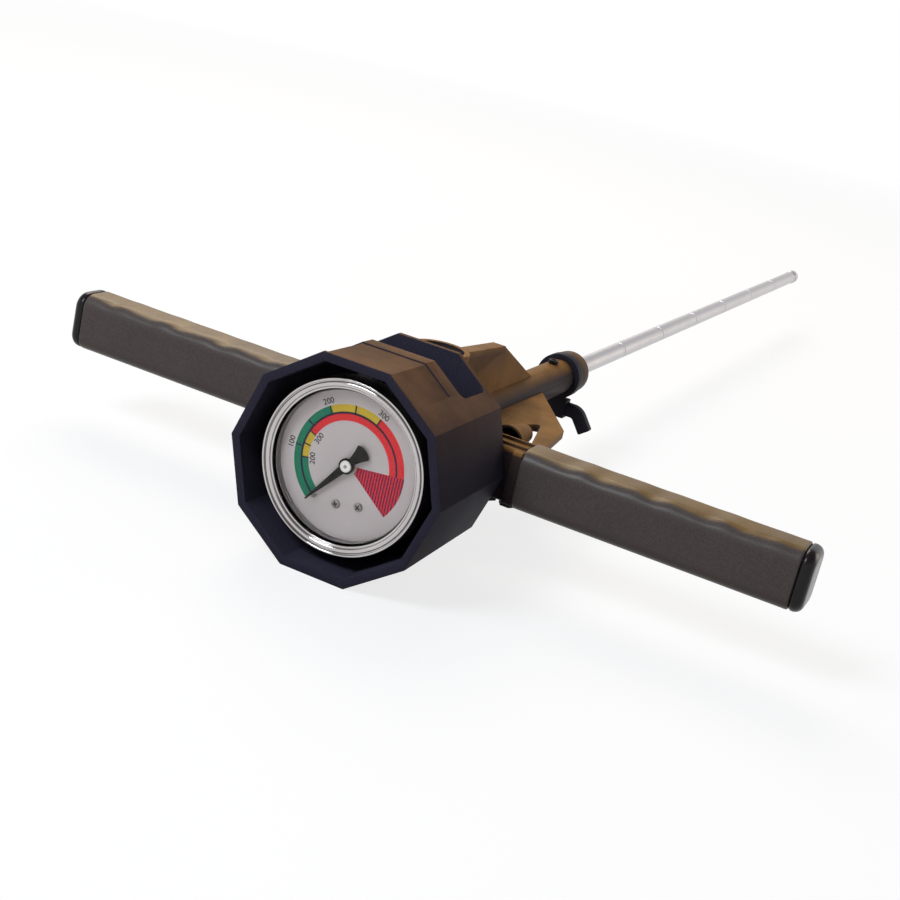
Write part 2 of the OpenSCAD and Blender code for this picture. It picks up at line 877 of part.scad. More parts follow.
module gauge_dial() {
    color(dial_grey) place() difference() {
        along(dial_front) cylinder(r = gasket_r, h = dial_t);
        along(dial_front - over) cylinder(r = dial_hole_r, h = dial_t + 2 * over);
        dial_screw_places(dial_front - over) cylinder(r = screw_shank_r + seat_gap, h = dial_t + 2 * over);
        stop_pin_place(dial_front - over) cylinder(r = stop_pin_r + seat_gap, h = dial_t + 2 * over);
    }
}

module dial_screws() {
    head_h = screw_shank_r;
    head_r = screw_shank_r * 2;
    color(steel) place() dial_screw_places(dial_front - head_h) difference() {
        union() {
            cylinder(r = head_r, h = head_h);
            cylinder(r = screw_shank_r, h = head_h + dial_t + dial_post_r * 2);
        }
        cube([head_r * 3, head_h / 2, head_h], center = true);
    }
}

module stop_pin() {
    color(steel) place() stop_pin_place(pointer_front - pointer_t)
        cylinder(r = stop_pin_r, h = dial_back + pointer_t * 2 - pointer_front);
}

// Gauge stem: a brass block inside the case, a square for the wrench and a round stem
module gauge_stem() {
    post_len = plates_back - dial_back;
    passage_r = screw_shank_r * 1.5;
    color(brass) place() difference() {
        union() {
            translate([-block_w / 2, plates_back, -block_bottom])
                cube([block_w, block_t, block_bottom + block_top]);
            translate([-block_w / 2, tube_front - tube_flat_wall * 2, -block_bottom])
                cube([block_w, case_floor - tube_front, root_h]);
            dial_screw_places(dial_back) cylinder(r = dial_post_r, h = post_len + block_t);
            along(case_floor) cylinder(r = port_r - seat_gap, h = chamber_front - case_floor - seat_gap);
            translate([-stem_square / 2, case_back, -stem_square / 2])
                cube([stem_square, cell_front - case_back, stem_square]);
        }
        pressure_tube_body(tube_flat_w + 2 * seat_gap, tube_flat_h + 2 * seat_gap, 0, root_angle() - 1);
        dial_screw_places(dial_back - over) cylinder(r = screw_shank_r + seat_gap, h = dial_post_r * 4);
        for (x = [-1, 1]) translate([x * case_screw_x, 0, case_screw_z]) along(case_floor - block_t * 0.8)
            cylinder(r = screw_shank_r + seat_gap, h = block_t);
        along(plates_back + block_t * 0.4) cylinder(r = passage_r, h = chamber_front);
        along(plates_back - over) cylinder(r = sector_hub_r, h = over + block_t * 0.3);
    }
}

module case_screws() {
    grip_in = block_t * 0.6;
    color(steel) place() for (x = [-1, 1]) translate([x * case_screw_x, 0, case_screw_z]) {
        along(case_back) cylinder(r = screw_shank_r * 2, h = screw_shank_r * 1.4);
        along(case_floor - grip_in) cylinder(r = screw_shank_r, h = case_back_t + grip_in);
    }
}

// Pressure tube: a flattened tube that curls most of the way round the movement

function root_angle() = -90 + asin(block_w * 0.25 / tube_coil_r);

module pressure_tube_body(w, h, wall, from_angle) {
    along(tube_front + tube_flat_h / 2) rotate(-tip_angle)
        rotate_extrude(angle = tip_angle - from_angle) translate([tube_coil_r, 0]) difference() {
            rounded(w, h, w / 2 - tube_flat_wall);
            if (wall > 0) rounded(w - 2 * wall, h - 2 * wall, w / 2 - wall - tube_flat_wall / 2);
        }
}

module pressure_tube() {
    color(brass) place() pressure_tube_body(tube_flat_w, tube_flat_h, tube_flat_wall, root_angle());
}

// Sector gear, link and tube tip

function tail_pin() = [0, gear_centres] + polar(sector_tail, 90 - rest_lean);

module tube_tip() {
    color(brass) place() along(tube_front) rotate(-tip_angle - tip_turn) rotate_extrude(angle = tip_turn)
        translate([tube_coil_r - tube_flat_w / 2, 0]) square([tube_flat_w, tube_flat_h]);
}

module tip_link() {
    pin = tail_pin();
    far = polar(tube_coil_r, tip_angle + tip_turn / 2);
    link_r = link_pin_r + link_hole_gap + link_t;
    slant = atan2(far[1] - pin[1], far[0] - pin[0]);
    color(brass) place() {
        plate(link_front, link_t) difference() {
            union() {
                translate(pin) circle(link_r);
                translate(far) circle(link_r);
                translate(pin) rotate(slant) translate([0, -link_t]) square([norm(far - pin), 2 * link_t]);
            }
            translate(pin) circle(link_pin_r + link_hole_gap);
        }
        translate([far[0], 0, far[1]]) along(link_front + link_t)
            cylinder(r = link_pin_r, h = tube_front - link_front - link_t);
    }
}

function tooth(a, root_r, tip_r, root_half, tip_half) = [
    polar(root_r, a - root_half),
    polar(tip_r, a - tip_half),
    polar(tip_r, a + tip_half),
    polar(root_r, a + root_half)
];

module sector_outline() {
    root_r = sector_pitch_r - tooth_dedendum;
    tip_r = sector_pitch_r + tooth_addendum;
    rim_r = root_r - tooth_module * 4;
    half = (sector_teeth - 1) / 2;
    edge = (half + 0.5) * tooth_turn;
    difference() {
        polygon(concat(
            [[0, 0]],
            [for (i = [-half:half]) each tooth(i * tooth_turn, root_r, tip_r,
                tooth_turn * tooth_root_share / 2, tooth_turn * tooth_tip_share / 2)]
        ));
        polygon(concat(
            [polar(rim_r * 0.4, 0)],
            [for (i = [-3:3]) polar(rim_r, i * edge / 5)]
        ));
    }
    circle(sector_hub_r);
    rotate(180) {
        translate([0, -sector_pin_r]) square([sector_tail, 2 * sector_pin_r]);
        translate([sector_tail, 0]) circle(link_pin_r + link_t);
    }
}

module sector_gear() {
    pin = tail_pin();
    color(brass) place() {
        plate(gear_front, gear_t) translate([0, gear_centres]) rotate(-90 - rest_lean) sector_outline();
        translate([0, 0, gear_centres]) along(plates_front)
            cylinder(r = sector_pin_r, h = plates_back - plates_front);
        translate([pin[0], 0, pin[1]]) along(link_front)
            cylinder(r = link_pin_r, h = gear_front - link_front);
    }
}

module pinion_outline() {
    turn = 360 / pinion_teeth;
    polygon([for (i = [0:pinion_teeth - 1]) each tooth((i + 0.5) * turn + 90,
        pinion_pitch_r - tooth_dedendum, pinion_pitch_r + tooth_addendum,
        turn * tooth_root_share / 2, turn * tooth_tip_share / 2)]);
}

module pinion_arbor() {
    color(steel) place() {
        plate(gear_front - link_t, gear_t + 2 * link_t) pinion_outline();
        along(pointer_front - arbor_nose)
            cylinder(r = arbor_r, h = plates_back - pointer_front + arbor_nose);
    }
}

// Two plates on pillars that carry the arbor and the sector
module movement_plates() {
    pillar_x = block_w / 2 - dial_post_r;
    low = -block_top / 2;
    high = gear_centres + sector_hub_r;
    color(brass) place() difference() {
        union() {
            for (d = [plates_front, plates_back - movement_plate_t])
                translate([-block_w / 2, d, low * 2]) cube([block_w, movement_plate_t, high - low * 2]);
            for (x = [-1, 1]) translate([x * pillar_x, 0, low])
                along(plates_front) cylinder(r = dial_post_r * 0.75, h = plates_back - plates_front);
        }
        along(plates_front - over) cylinder(r = arbor_r + run_gap, h = plates_back);
        translate([0, 0, gear_centres]) along(plates_front - over)
            cylinder(r = sector_pin_r + run_gap, h = plates_back);
    }
}

module pointer() {
    tip_half = pointer_t * 0.4;
    neck_half = pointer_hub_r * 0.5;
    flare_half = pointer_hub_r * 1.25;
    color(gloss_black) place() plate(pointer_front, pointer_t) difference() {
        rotate(zero_angle) {
            circle(pointer_hub_r);
            polygon([
                [0, -neck_half],
                [pointer_len, -tip_half],
                [pointer_len, tip_half],
                [0, neck_half]
            ]);
            intersection() {
                circle(pointer_tail);
                polygon([
                    [0, -neck_half],
                    [-pointer_tail / 2, -neck_half],
                    [-pointer_tail, -flare_half],
                    [-pointer_tail, flare_half],
                    [-pointer_tail / 2, neck_half],
                    [0, neck_half]
                ]);
            }
        }
        circle(arbor_r + seat_gap);
    }
}

module pointer_cap() {
    cap_r = pointer_hub_r * 0.75;
    color(bright_steel) place() turned([
        [arbor_r + seat_gap, pointer_front - pointer_t],
        [cap_r - pointer_t / 2, pointer_front - pointer_t],
        [cap_r, pointer_front - pointer_t / 2],
        [cap_r, pointer_front],
        [arbor_r + seat_gap, pointer_front]
    ]);
}

// Hydraulic cell

module hydraulic_cell() {
    edge = bleed_screw_r / 2;
    color(aluminium) place() difference() {
        turned([
            [0, cell_front],
            [cell_r - edge, cell_front],
            [cell_r, cell_front + edge],
            [cell_r, plate_front],
            [0, plate_front]
        ]);
        along(cell_front - over) cylinder(r = port_r, h = port_depth + 2 * over);
        along(chamber_front) cylinder(r = cell_bore_r, h = cell_len);
        screw_ring(cell_screw_reach, plate_front - cell_screw_depth - over)
            cylinder(r = cell_screw_r + seat_gap, h = cell_screw_depth + 2 * over);
        translate([0, bleed_place, 0]) rotate([0, 90, 0])
            cylinder(r = bleed_screw_r + seat_gap, h = cell_r + over);
    }
}

module bleed_screw() {
    wall = cell_r - cell_bore_r;
    color(brass) place() translate([0, bleed_place, 0]) rotate([0, 90, 0]) {
        translate([0, 0, cell_bore_r + wall / 4]) cylinder(r = bleed_screw_r, h = wall * 0.75);
        translate([0, 0, cell_r]) cylinder(r = bleed_screw_r * 2, h = bleed_screw_r * 1.5, $fn = 6);
    }
}

// Return spring: one round wire wound in front of the piston

function spring_point(i, k) =
    let (
        turn = 360 * spring_turns * i / ring_count,
        len = piston_front - chamber_front - 2 * (spring_wire_r + seat_gap),
        section = 360 * k / ring_sides,
        r = spring_coil_r + spring_wire_r * cos(section)
    )
    [
        r * cos(turn),
        chamber_front + spring_wire_r + seat_gap + len * i / ring_count + spring_wire_r * sin(section),
        r * sin(turn)
    ];

module return_spring() {
    points = [for (i = [0:ring_count], k = [0:ring_sides - 1]) spring_point(i, k)];
    walls = [for (i = [0:ring_count - 1], k = [0:ring_sides - 1])
        let (a = i * ring_sides + k, b = i * ring_sides + (k + 1) % ring_sides)
        each [[a, b, b + ring_sides], [a, b + ring_sides, a + ring_sides]]];
    start = [[for (k = [ring_sides - 1:-1:0]) k]];
    end = [[for (k = [0:ring_sides - 1]) ring_count * ring_sides + k]];
    color(steel) place() polyhedron(points, concat(walls, start, end));
}

module piston() {
    groove_start = piston_front + (piston_t - groove_w) / 2;
    r = cell_bore_r - run_gap;
    color(aluminium) place() turned([
        [stud_r + seat_gap, piston_front],
        [r, piston_front],
        [r, groove_start],
        [r - groove_depth, groove_start],
        [r - groove_depth, groove_start + groove_w],
        [r, groove_start + groove_w],
        [r, piston_back],
        [stud_r + seat_gap, piston_back]
    ]);
}

module piston_ring() {
    ring_r = (groove_depth - seat_gap) / 2;
    color(rubber) place() along(piston_front + piston_t / 2) rotate_extrude()
        translate([cell_bore_r - run_gap - ring_r, 0]) circle(ring_r, $fn = 24);
}

module piston_nut() {
    color(steel) place() along(piston_front - nut_h) difference() {
        cylinder(r = stud_r * 1.7, h = nut_h, $fn = 6);
        translate([0, 0, -over]) cylinder(r = stud_r + seat_gap, h = nut_h + 2 * over);
    }
}

// Probe rod

module probe_rod() {
    color(bright_steel) place() difference() {
        union() {
            along(piston_back) cylinder(r = rod_r, h = rod_end - piston_back);
            along(piston_front - nut_h) cylinder(r = stud_r, h = piston_t + nut_h);
        }
        for (i = [1:mark_count]) along(rod_end - i * mark_spacing - mark_w / 2) difference() {
            cylinder(r = rod_r + over, h = mark_w);
            cylinder(r = rod_r - mark_depth, h = mark_w);
        }
        along(rod_end - tip_stud_len) cylinder(r = stud_r + seat_gap, h = tip_stud_len + over);
    }
}

module cone_tip() {
    color(bright_steel) place() {
        turned([
            [0, rod_end],
            [cone_r, rod_end],
            [cone_r, rod_end + cone_shoulder],
            [0, rod_end + cone_shoulder + cone_len]
        ]);
        along(rod_end - tip_stud_len * 0.9) cylinder(r = stud_r, h = tip_stud_len);
    }
}

gauge_housing();
frame_casting();
housing_screws();
cell_screws();
left_handle_bar();
right_handle_bar();
left_grip();
right_grip();
left_end_cap();
right_end_cap();
handle_bolts();
front_guide();
rear_guide();
guide_set_screw();
end_collar();
rod_wiper();
clip_band();
clip_tab();
gauge_case();
gauge_bezel();
gauge_lens();
lens_gasket();
gauge_dial();
dial_screws();
stop_pin();
fill_plug();
gauge_stem();
case_screws();
pressure_tube();
tube_tip();
tip_link();
movement_plates();
sector_gear();
pinion_arbor();
pointer();
pointer_cap();
hydraulic_cell();
bleed_screw();
return_spring();
piston();
piston_ring();
piston_nut();
probe_rod();
cone_tip();
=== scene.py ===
import bmesh
import bpy
import math
from mathutils import Matrix, Vector


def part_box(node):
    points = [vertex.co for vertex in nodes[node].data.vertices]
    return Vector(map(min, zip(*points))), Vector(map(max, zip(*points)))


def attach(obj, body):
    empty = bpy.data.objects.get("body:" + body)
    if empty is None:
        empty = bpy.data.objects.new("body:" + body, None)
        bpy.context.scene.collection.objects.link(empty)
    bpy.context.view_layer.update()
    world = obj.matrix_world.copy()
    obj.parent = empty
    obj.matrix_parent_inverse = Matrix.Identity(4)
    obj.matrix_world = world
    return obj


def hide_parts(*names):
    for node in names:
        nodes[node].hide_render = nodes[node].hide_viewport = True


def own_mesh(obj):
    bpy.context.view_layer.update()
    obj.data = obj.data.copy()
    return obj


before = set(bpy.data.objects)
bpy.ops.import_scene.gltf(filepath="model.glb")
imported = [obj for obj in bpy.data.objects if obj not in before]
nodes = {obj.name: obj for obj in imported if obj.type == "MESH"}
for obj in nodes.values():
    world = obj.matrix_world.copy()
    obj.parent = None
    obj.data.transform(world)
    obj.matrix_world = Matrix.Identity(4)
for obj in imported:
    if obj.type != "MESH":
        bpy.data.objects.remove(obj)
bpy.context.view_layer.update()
scene = bpy.context.scene
scene.view_settings.view_transform = "Standard"

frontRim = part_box("gauge_housing")[0].y  # depths below are counted from here, in mm
axisZ = sum(corner.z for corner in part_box("gauge_bezel")) / 2  # height of the rod's axis
tiny = 1e-6  # metres, for merging points and comparing heights
print("frame loaded with", len(nodes), "nodes")


def linear(hexColour):
    values = [int(hexColour[i:i + 2], 16) / 255 for i in (1, 3, 5)]
    return [v / 12.92 if v <= 0.04045 else ((v + 0.055) / 1.055) ** 2.4 for v in values] + [1]


def perMm(size):
    return 1000 / size  # texture scale that repeats every so many mm


def addNode(owner, kind, settings=None, links=None):
    node = owner.node_tree.nodes.new("ShaderNode" + kind)
    for name, value in (settings or {}).items():
        if isinstance(name, int) or name in node.inputs:
            node.inputs[name].default_value = value
        else:
            setattr(node, name, value)
    for name, source in (links or {}).items():
        owner.node_tree.links.new(source, node.inputs[name])
    return node


def startMaterial(name, sockets):
    material = bpy.data.materials.new(name)
    material.use_nodes = True
    shader = material.node_tree.nodes["Principled BSDF"]
    for socket, value in sockets.items():
        shader.inputs[socket].default_value = value
    place = addNode(material, "TexCoord").outputs["Object"]
    return material, shader, place


def wire(material, shader, links):
    for socket, source in links.items():
        material.node_tree.links.new(source, shader.inputs[socket])
    return material


# Camera, at the photograph's view: the tool lies turned and rolled in the frame
cameraSettings = {"place": (0.249217, -0.943048, 0.250871), "turn": 21.1307, "dip": 17.7010,
                  "roll": 13.2957, "lens": 62.516, "sensor": 36, "clip": 0.01}
cameraData = bpy.data.cameras.new("camera")
cameraData.lens = cameraSettings["lens"]
cameraData.sensor_width = cameraSettings["sensor"]
cameraData.clip_start = cameraSettings["clip"]
camera = bpy.data.objects.new("camera", cameraData)
camera.matrix_world = (Matrix.Translation(cameraSettings["place"])
                       @ Matrix.Rotation(math.radians(cameraSettings["turn"]), 4, "Z")
                       @ Matrix.Rotation(math.radians(90 - cameraSettings["dip"]), 4, "X")
                       @ Matrix.Rotation(math.radians(cameraSettings["roll"]), 4, "Z"))
scene.collection.objects.link(camera)
scene.camera = camera
print("camera set")

# Plastics and enamels. A band gives the two values between which a detail fades in.
plastic = {"cloudDetail": 5, "grainDetail": 3, "fleckBand": (0.35, 0.7), "patchBand": (0.3, 0.65),
           "patchLow": 0.72, "tintMixBand": (0.35, 0.65), "underBand": (-0.3, -0.7)}


# Painted warm light: two browns, blended by a cloud, laid over the faces that look its way, stronger higher up
def dusted(material, look, surface, place, cloud, grain):
    normal = addNode(material, "NewGeometry").outputs["Normal"]
    facing = addNode(material, "VectorMath", {"operation": "DOT_PRODUCT", 1: look["paintedLightSide"]}, {0: normal})
    rise = addNode(material, "VectorMath", {"operation": "DOT_PRODUCT", 1: (0, 0, look["paintedLightRise"])},
                   {0: place})
    level = addNode(material, "Math", {"operation": "ADD"},
                    {0: facing.outputs["Value"], 1: rise.outputs["Value"]})
    paintedFacing = addNode(material, "MapRange", {"From Min": look["paintedLightFrom"], "From Max": look["paintedLightTo"],
                                             "To Max": look["paintedLightShare"]}, {"Value": level.outputs["Value"]})
    patchy = addNode(material, "MapRange", {"From Min": plastic["patchBand"][0],
                                            "From Max": plastic["patchBand"][1],
                                            "To Min": plastic["patchLow"]}, {"Value": grain})
    paintedTop = addNode(material, "Math", {"operation": "MULTIPLY"},
                    {0: paintedFacing.outputs["Result"], 1: patchy.outputs["Result"]})
    under = addNode(material, "MapRange", {"From Min": plastic["underBand"][0],
                                           "From Max": plastic["underBand"][1], "To Max": look["paintedBounce"]},
                    {"Value": facing.outputs["Value"]})  # painted bounce light on what faces down
    paintedAmount = addNode(material, "Math", {"operation": "MAXIMUM"},
                   {0: paintedTop.outputs["Value"], 1: under.outputs["Result"]})
    tintMix = addNode(material, "MapRange", {"From Min": plastic["tintMixBand"][0],
                                           "From Max": plastic["tintMixBand"][1]}, {"Value": cloud})
    warmTint = addNode(material, "MixRGB", {"Color1": linear(look["paintedLight"][0]), "Color2": linear(look["paintedLight"][1])},
                   {"Fac": tintMix.outputs["Result"]})
    return addNode(material, "MixRGB", {}, {"Color1": surface, "Color2": warmTint.outputs["Color"],
                                            "Fac": paintedAmount.outputs["Value"]}).outputs["Color"]


def mouldedPlastic(name, look):
    material, shader, place = startMaterial(name, {"Specular IOR Level": look["gloss"]})
    cloud = addNode(material, "TexNoise", {"Scale": perMm(look["cloud"]), "Detail": plastic["cloudDetail"]},
                    {"Vector": place}).outputs["Fac"]
    grain = addNode(material, "TexNoise", {"Scale": perMm(look["grain"]), "Detail": plastic["grainDetail"]},
                    {"Vector": place}).outputs["Fac"]
    fleck = addNode(material, "MapRange", {"From Min": plastic["fleckBand"][0],
                                           "From Max": plastic["fleckBand"][1],
                                           "To Max": look["fleckShare"]}, {"Value": grain})
    body = addNode(material, "MixRGB", {"Color1": linear(look["deep"]), "Color2": linear(look["lit"])},
                   {"Fac": cloud})
    speck = addNode(material, "MixRGB", {"Color2": linear(look["fleck"])},
                    {"Color1": body.outputs["Color"], "Fac": fleck.outputs["Result"]})
    rough = addNode(material, "MapRange", {"To Min": look["rough"][0], "To Max": look["rough"][1]},
                    {"Value": cloud})
    bump = addNode(material, "Bump", {"Strength": look["bump"], "Distance": look["relief"] / 1000},
                   {"Height": grain})
    surface = speck.outputs["Color"]
    # painted warm light over the surface, where a look asks for it
    if "paintedLight" in look:
        surface = dusted(material, look, surface, place, cloud, grain)
    return wire(material, shader, {"Base Color": surface, "Roughness": rough.outputs["Result"],
                                   "Normal": bump.outputs["Normal"]})


# Glass-filled nylon, moulded: matt, finely grained, with a few paler fibre flecks, painted warm light on what
# faces up and painted bounce light on what faces down. The real grain is about 0.1 mm, drawn coarser so that it
# shows.
housingLook = {"deep": "#242430", "lit": "#2d2d3a", "fleck": "#4b4140", "fleckShare": 0.3, "cloud": 16,
               "grain": 0.6, "rough": (0.5, 0.62), "gloss": 0.02, "bump": 0.25, "relief": 0.1}
housingNylon = mouldedPlastic("housingNylon", {
    **housingLook, "paintedLight": ("#5b4129", "#705134"), "paintedLightSide": (0, 0.5, 0.87), "paintedLightRise": 13,
    "paintedLightFrom": 0.97, "paintedLightTo": 2.1, "paintedLightShare": 1, "paintedBounce": 0.8})
# Inside the housing no painted warm light lies, and the skin is painted a little paler to lift the shade there
paintedFillNylon = mouldedPlastic("paintedFillNylon", {**housingLook, "deep": "#282836", "lit": "#323242"})
# Casting: dark nylon with painted warm light on what faces up and sideways
castingLook = {"deep": "#29262d", "lit": "#322d30", "fleck": "#574536", "fleckShare": 0.3, "cloud": 14,
               "grain": 0.6, "rough": (0.44, 0.56), "gloss": 0.03, "bump": 0.25, "relief": 0.1,
               "paintedLight": ("#765329", "#8c6637"), "paintedLightSide": (0, 0.35, 0.94), "paintedLightRise": 0,
               "paintedLightFrom": -0.35, "paintedLightTo": 0.1, "paintedLightShare": 1, "paintedBounce": 0}
frameNylon = mouldedPlastic("frameNylon", castingLook)
# On the tube and in the pocket the painted warm light lies only on what looks straight up: painted shade on
# their sides
paintedSideShadeNylon = mouldedPlastic("paintedSideShadeNylon", {**castingLook, "paintedLightFrom": 0.5, "paintedLightTo": 0.95})
# Collar: painted warm light on what faces up
collarNylon = mouldedPlastic("collarNylon", {
    "deep": "#2f2522", "lit": "#3f3028", "fleck": "#5c4736", "fleckShare": 0.3, "cloud": 9, "grain": 0.5,
    "rough": (0.36, 0.48), "gloss": 0.05, "bump": 0.2, "relief": 0.08, "paintedLight": ("#5b4129", "#705134"),
    "paintedLightSide": (0.3, 0, 0.95), "paintedLightRise": 0, "paintedLightFrom": -0.1, "paintedLightTo": 0.8, "paintedLightShare": 0.8, "paintedBounce": 0})
# Vinyl, dipped: a soft dark skin with a satin sheen, fine specks and painted warm light on its top
gripVinyl = mouldedPlastic("gripVinyl", {
    "deep": "#463f3c", "lit": "#504845", "fleck": "#7d7168", "fleckShare": 0.16, "cloud": 22, "grain": 0.7,
    "rough": (0.32, 0.38), "gloss": 0.17, "bump": 0.1, "relief": 0.06, "paintedLight": ("#684e20", "#7d602c"),
    "paintedLightSide": (0, 0, 1), "paintedLightRise": 0, "paintedLightFrom": 0.84, "paintedLightTo": 0.94, "paintedLightShare": 0.9, "paintedBounce": 0})
# Polyethylene caps, moulded against a polished mould: glossy black with a faint flow cloud
glossCap = mouldedPlastic("glossCap", {
    "deep": "#151213", "lit": "#1f1b1c", "fleck": "#2d2829", "fleckShare": 0.1, "cloud": 12, "grain": 1.2,
    "rough": (0.18, 0.28), "gloss": 0.2, "bump": 0.05, "relief": 0.05})
# Nylon strap, moulded black: matt, a little blue in the shade
strapNylon = mouldedPlastic("strapNylon", {
    "deep": "#1d1b22", "lit": "#27252d", "fleck": "#3a3742", "fleckShare": 0.2, "cloud": 8, "grain": 0.6,
    "rough": (0.42, 0.54), "gloss": 0.06, "bump": 0.2, "relief": 0.08})
# Nitrile rubber: dull black with a dry bloom
blackRubber = mouldedPlastic("blackRubber", {
    "deep": "#141313", "lit": "#1d1c1b", "fleck": "#2f2d2b", "fleckShare": 0.2, "cloud": 6, "grain": 0.4,
    "rough": (0.55, 0.7), "gloss": 0.35, "bump": 0.15, "relief": 0.05})
# Silicone rubber, extruded: smooth mid grey
gasketRubber = mouldedPlastic("gasketRubber", {
    "deep": "#686261", "lit": "#7b7473", "fleck": "#8d8685", "fleckShare": 0.2, "cloud": 7, "grain": 0.5,
    "rough": (0.3, 0.42), "gloss": 0.3, "bump": 0.06, "relief": 0.03})
# Enamel, sprayed and baked: an even skin with a faint orange peel
dialEnamel = mouldedPlastic("dialEnamel", {
    "deep": "#b1a9a9", "lit": "#bbb3b2", "fleck": "#cdc7c5", "fleckShare": 0.12, "cloud": 20, "grain": 0.9,
    "rough": (0.4, 0.5), "gloss": 0.2, "bump": 0.05, "relief": 0.03})
pointerEnamel = mouldedPlastic("pointerEnamel", {
    "deep": "#131110", "lit": "#1d1a18", "fleck": "#302b28", "fleckShare": 0.15, "cloud": 8, "grain": 0.6,
    "rough": (0.36, 0.46), "gloss": 0.2, "bump": 0.05, "relief": 0.03})
caseEnamel = mouldedPlastic("caseEnamel", {
    "deep": "#17171a", "lit": "#222226", "fleck": "#34343a", "fleckShare": 0.2, "cloud": 18, "grain": 0.8,
    "rough": (0.66, 0.78), "gloss": 0.05, "bump": 0.12, "relief": 0.05})

# Metals, turned, ground and plated
metal = {"lineDetail": 3, "smudgeDetail": 4, "mark": 0.04}  # mark is the depth of a tool line, in mm


def workedMetal(name, look):
    material, shader, place = startMaterial(name, {"Metallic": 1})
    stretch = addNode(material, "Mapping", {"Scale": look["lay"]}, {"Vector": place})  # grinding runs one way
    lines = addNode(material, "TexNoise", {"Scale": perMm(look["line"]), "Detail": metal["lineDetail"]},
                    {"Vector": stretch.outputs["Vector"]})
    smudge = addNode(material, "TexNoise", {"Scale": perMm(look["smudge"]), "Detail": metal["smudgeDetail"]},
                     {"Vector": place}).outputs["Fac"]
    colour = addNode(material, "MixRGB", {"Color1": linear(look["deep"]), "Color2": linear(look["lit"])},
                     {"Fac": smudge})
    rough = addNode(material, "MapRange", {"To Min": look["rough"][0], "To Max": look["rough"][1]},
                    {"Value": smudge})
    bump = addNode(material, "Bump", {"Strength": look["bump"], "Distance": metal["mark"] / 1000},
                   {"Height": lines.outputs["Fac"]})
    return wire(material, shader, {"Base Color": colour.outputs["Color"], "Roughness": rough.outputs["Result"],
                                   "Normal": bump.outputs["Normal"]})


# Carbon steel rod, centreless ground: pale, satin, with fine rings round it.
# The real rings are finer than a pixel, so they are drawn 0.6 mm apart.
rodSteel = workedMetal("rodSteel", {"deep": "#b4b2b5", "lit": "#c5c3c6", "line": 0.6, "lay": (0.15, 1, 0.15),
                                    "smudge": 24, "rough": (0.3, 0.4), "bump": 0.03})
# Stainless steel bezel, spun and polished: a mirror with a few soft smudges
bezelSteel = workedMetal("bezelSteel", {"deep": "#b2aeae", "lit": "#c8c4c3", "line": 0.5, "lay": (1, 1, 1),
                                        "smudge": 11, "rough": (0.08, 0.15), "bump": 0.006})
# The same steel, dull and darker, as painted shade: on the bezel's skirt inside the housing and in the screws'
# cross recess
shadeSteel = workedMetal("shadeSteel", {"deep": "#4a4644", "lit": "#5b5653", "line": 0.5, "lay": (1, 1, 1),
                                        "smudge": 6, "rough": (0.5, 0.62), "bump": 0.05})
# Steel, zinc plated: grey with a slight spangle
zincSteel = workedMetal("zincSteel", {"deep": "#8b8783", "lit": "#a6a29d", "line": 0.5, "lay": (1, 1, 1),
                                      "smudge": 2.5, "rough": (0.3, 0.45), "bump": 0.1})
# Steel screws, black oxide: dark, oily, a little brown
blackScrew = workedMetal("blackScrew", {"deep": "#1a1918", "lit": "#252220", "line": 0.5, "lay": (1, 1, 1),
                                        "smudge": 2.5, "rough": (0.5, 0.65), "bump": 0.1})
# Free-cutting brass, turned: yellow with fine tool rings
turnedBrass = workedMetal("turnedBrass", {"deep": "#b08d48", "lit": "#c8a65c", "line": 0.4,
                                          "lay": (0.3, 1, 0.3), "smudge": 6, "rough": (0.24, 0.36),
                                          "bump": 0.12})
# Aluminium, turned and left bare: soft grey with fine tool rings
cellAluminium = workedMetal("cellAluminium", {"deep": "#b3b4b6", "lit": "#c6c7c9", "line": 0.5,
                                              "lay": (0.3, 1, 0.3), "smudge": 9, "rough": (0.3, 0.42),
                                              "bump": 0.14})
capAluminium = workedMetal("capAluminium", {"deep": "#dcdad9", "lit": "#eae8e7", "line": 0.3, "lay": (1, 1, 1),
                                            "smudge": 3, "rough": (0.36, 0.48), "bump": 0.08})

# Acrylic lens, cut from polished sheet: clear, with a faint haze of fine scratches
lens = {"ior": 1.12, "haze": 18, "hazeDetail": 5, "rough": (0.0, 0.05), "tint": ("#fbfbfa", "#ffffff")}
lensClear, lensShader, lensPlace = startMaterial("lensClear", {"Transmission Weight": 1, "IOR": lens["ior"]})
lensHaze = addNode(lensClear, "TexNoise", {"Scale": perMm(lens["haze"]), "Detail": lens["hazeDetail"]},
                   {"Vector": lensPlace}).outputs["Fac"]
lensRough = addNode(lensClear, "MapRange", {"To Min": lens["rough"][0], "To Max": lens["rough"][1]},
                    {"Value": lensHaze})
lensTint = addNode(lensClear, "MixRGB", {"Color1": linear(lens["tint"][0]), "Color2": linear(lens["tint"][1])},
                   {"Fac": lensHaze})
wire(lensClear, lensShader, {"Roughness": lensRough.outputs["Result"], "Base Color": lensTint.outputs["Color"]})


# Screen-printed inks on the dial: flat colour, slightly mottled
def printedInk(name, deep, lit):
    return mouldedPlastic(name, {"deep": deep, "lit": lit, "fleck": lit, "fleckShare": 0.3, "cloud": 5,
                                 "grain": 0.5, "rough": (0.42, 0.52), "gloss": 0.2, "bump": 0.03,
                                 "relief": 0.02})


greenInk = printedInk("greenInk", "#186a50", "#1f7459")
yellowInk = printedInk("yellowInk", "#b0962c", "#bca235")
redInk = printedInk("redInk", "#c4282c", "#ce3034")
darkInk = printedInk("darkInk", "#1c1a2b", "#26243a")
purpleInk = printedInk("purpleInk", "#4e1b3c", "#5a2245")
print("materials made:", len(bpy.data.materials))


# Picking parts of a mesh, rounding its edges, and closing it into mesh data
def vertsIn(geom):
    return [part for part in geom if isinstance(part, bmesh.types.BMVert)]


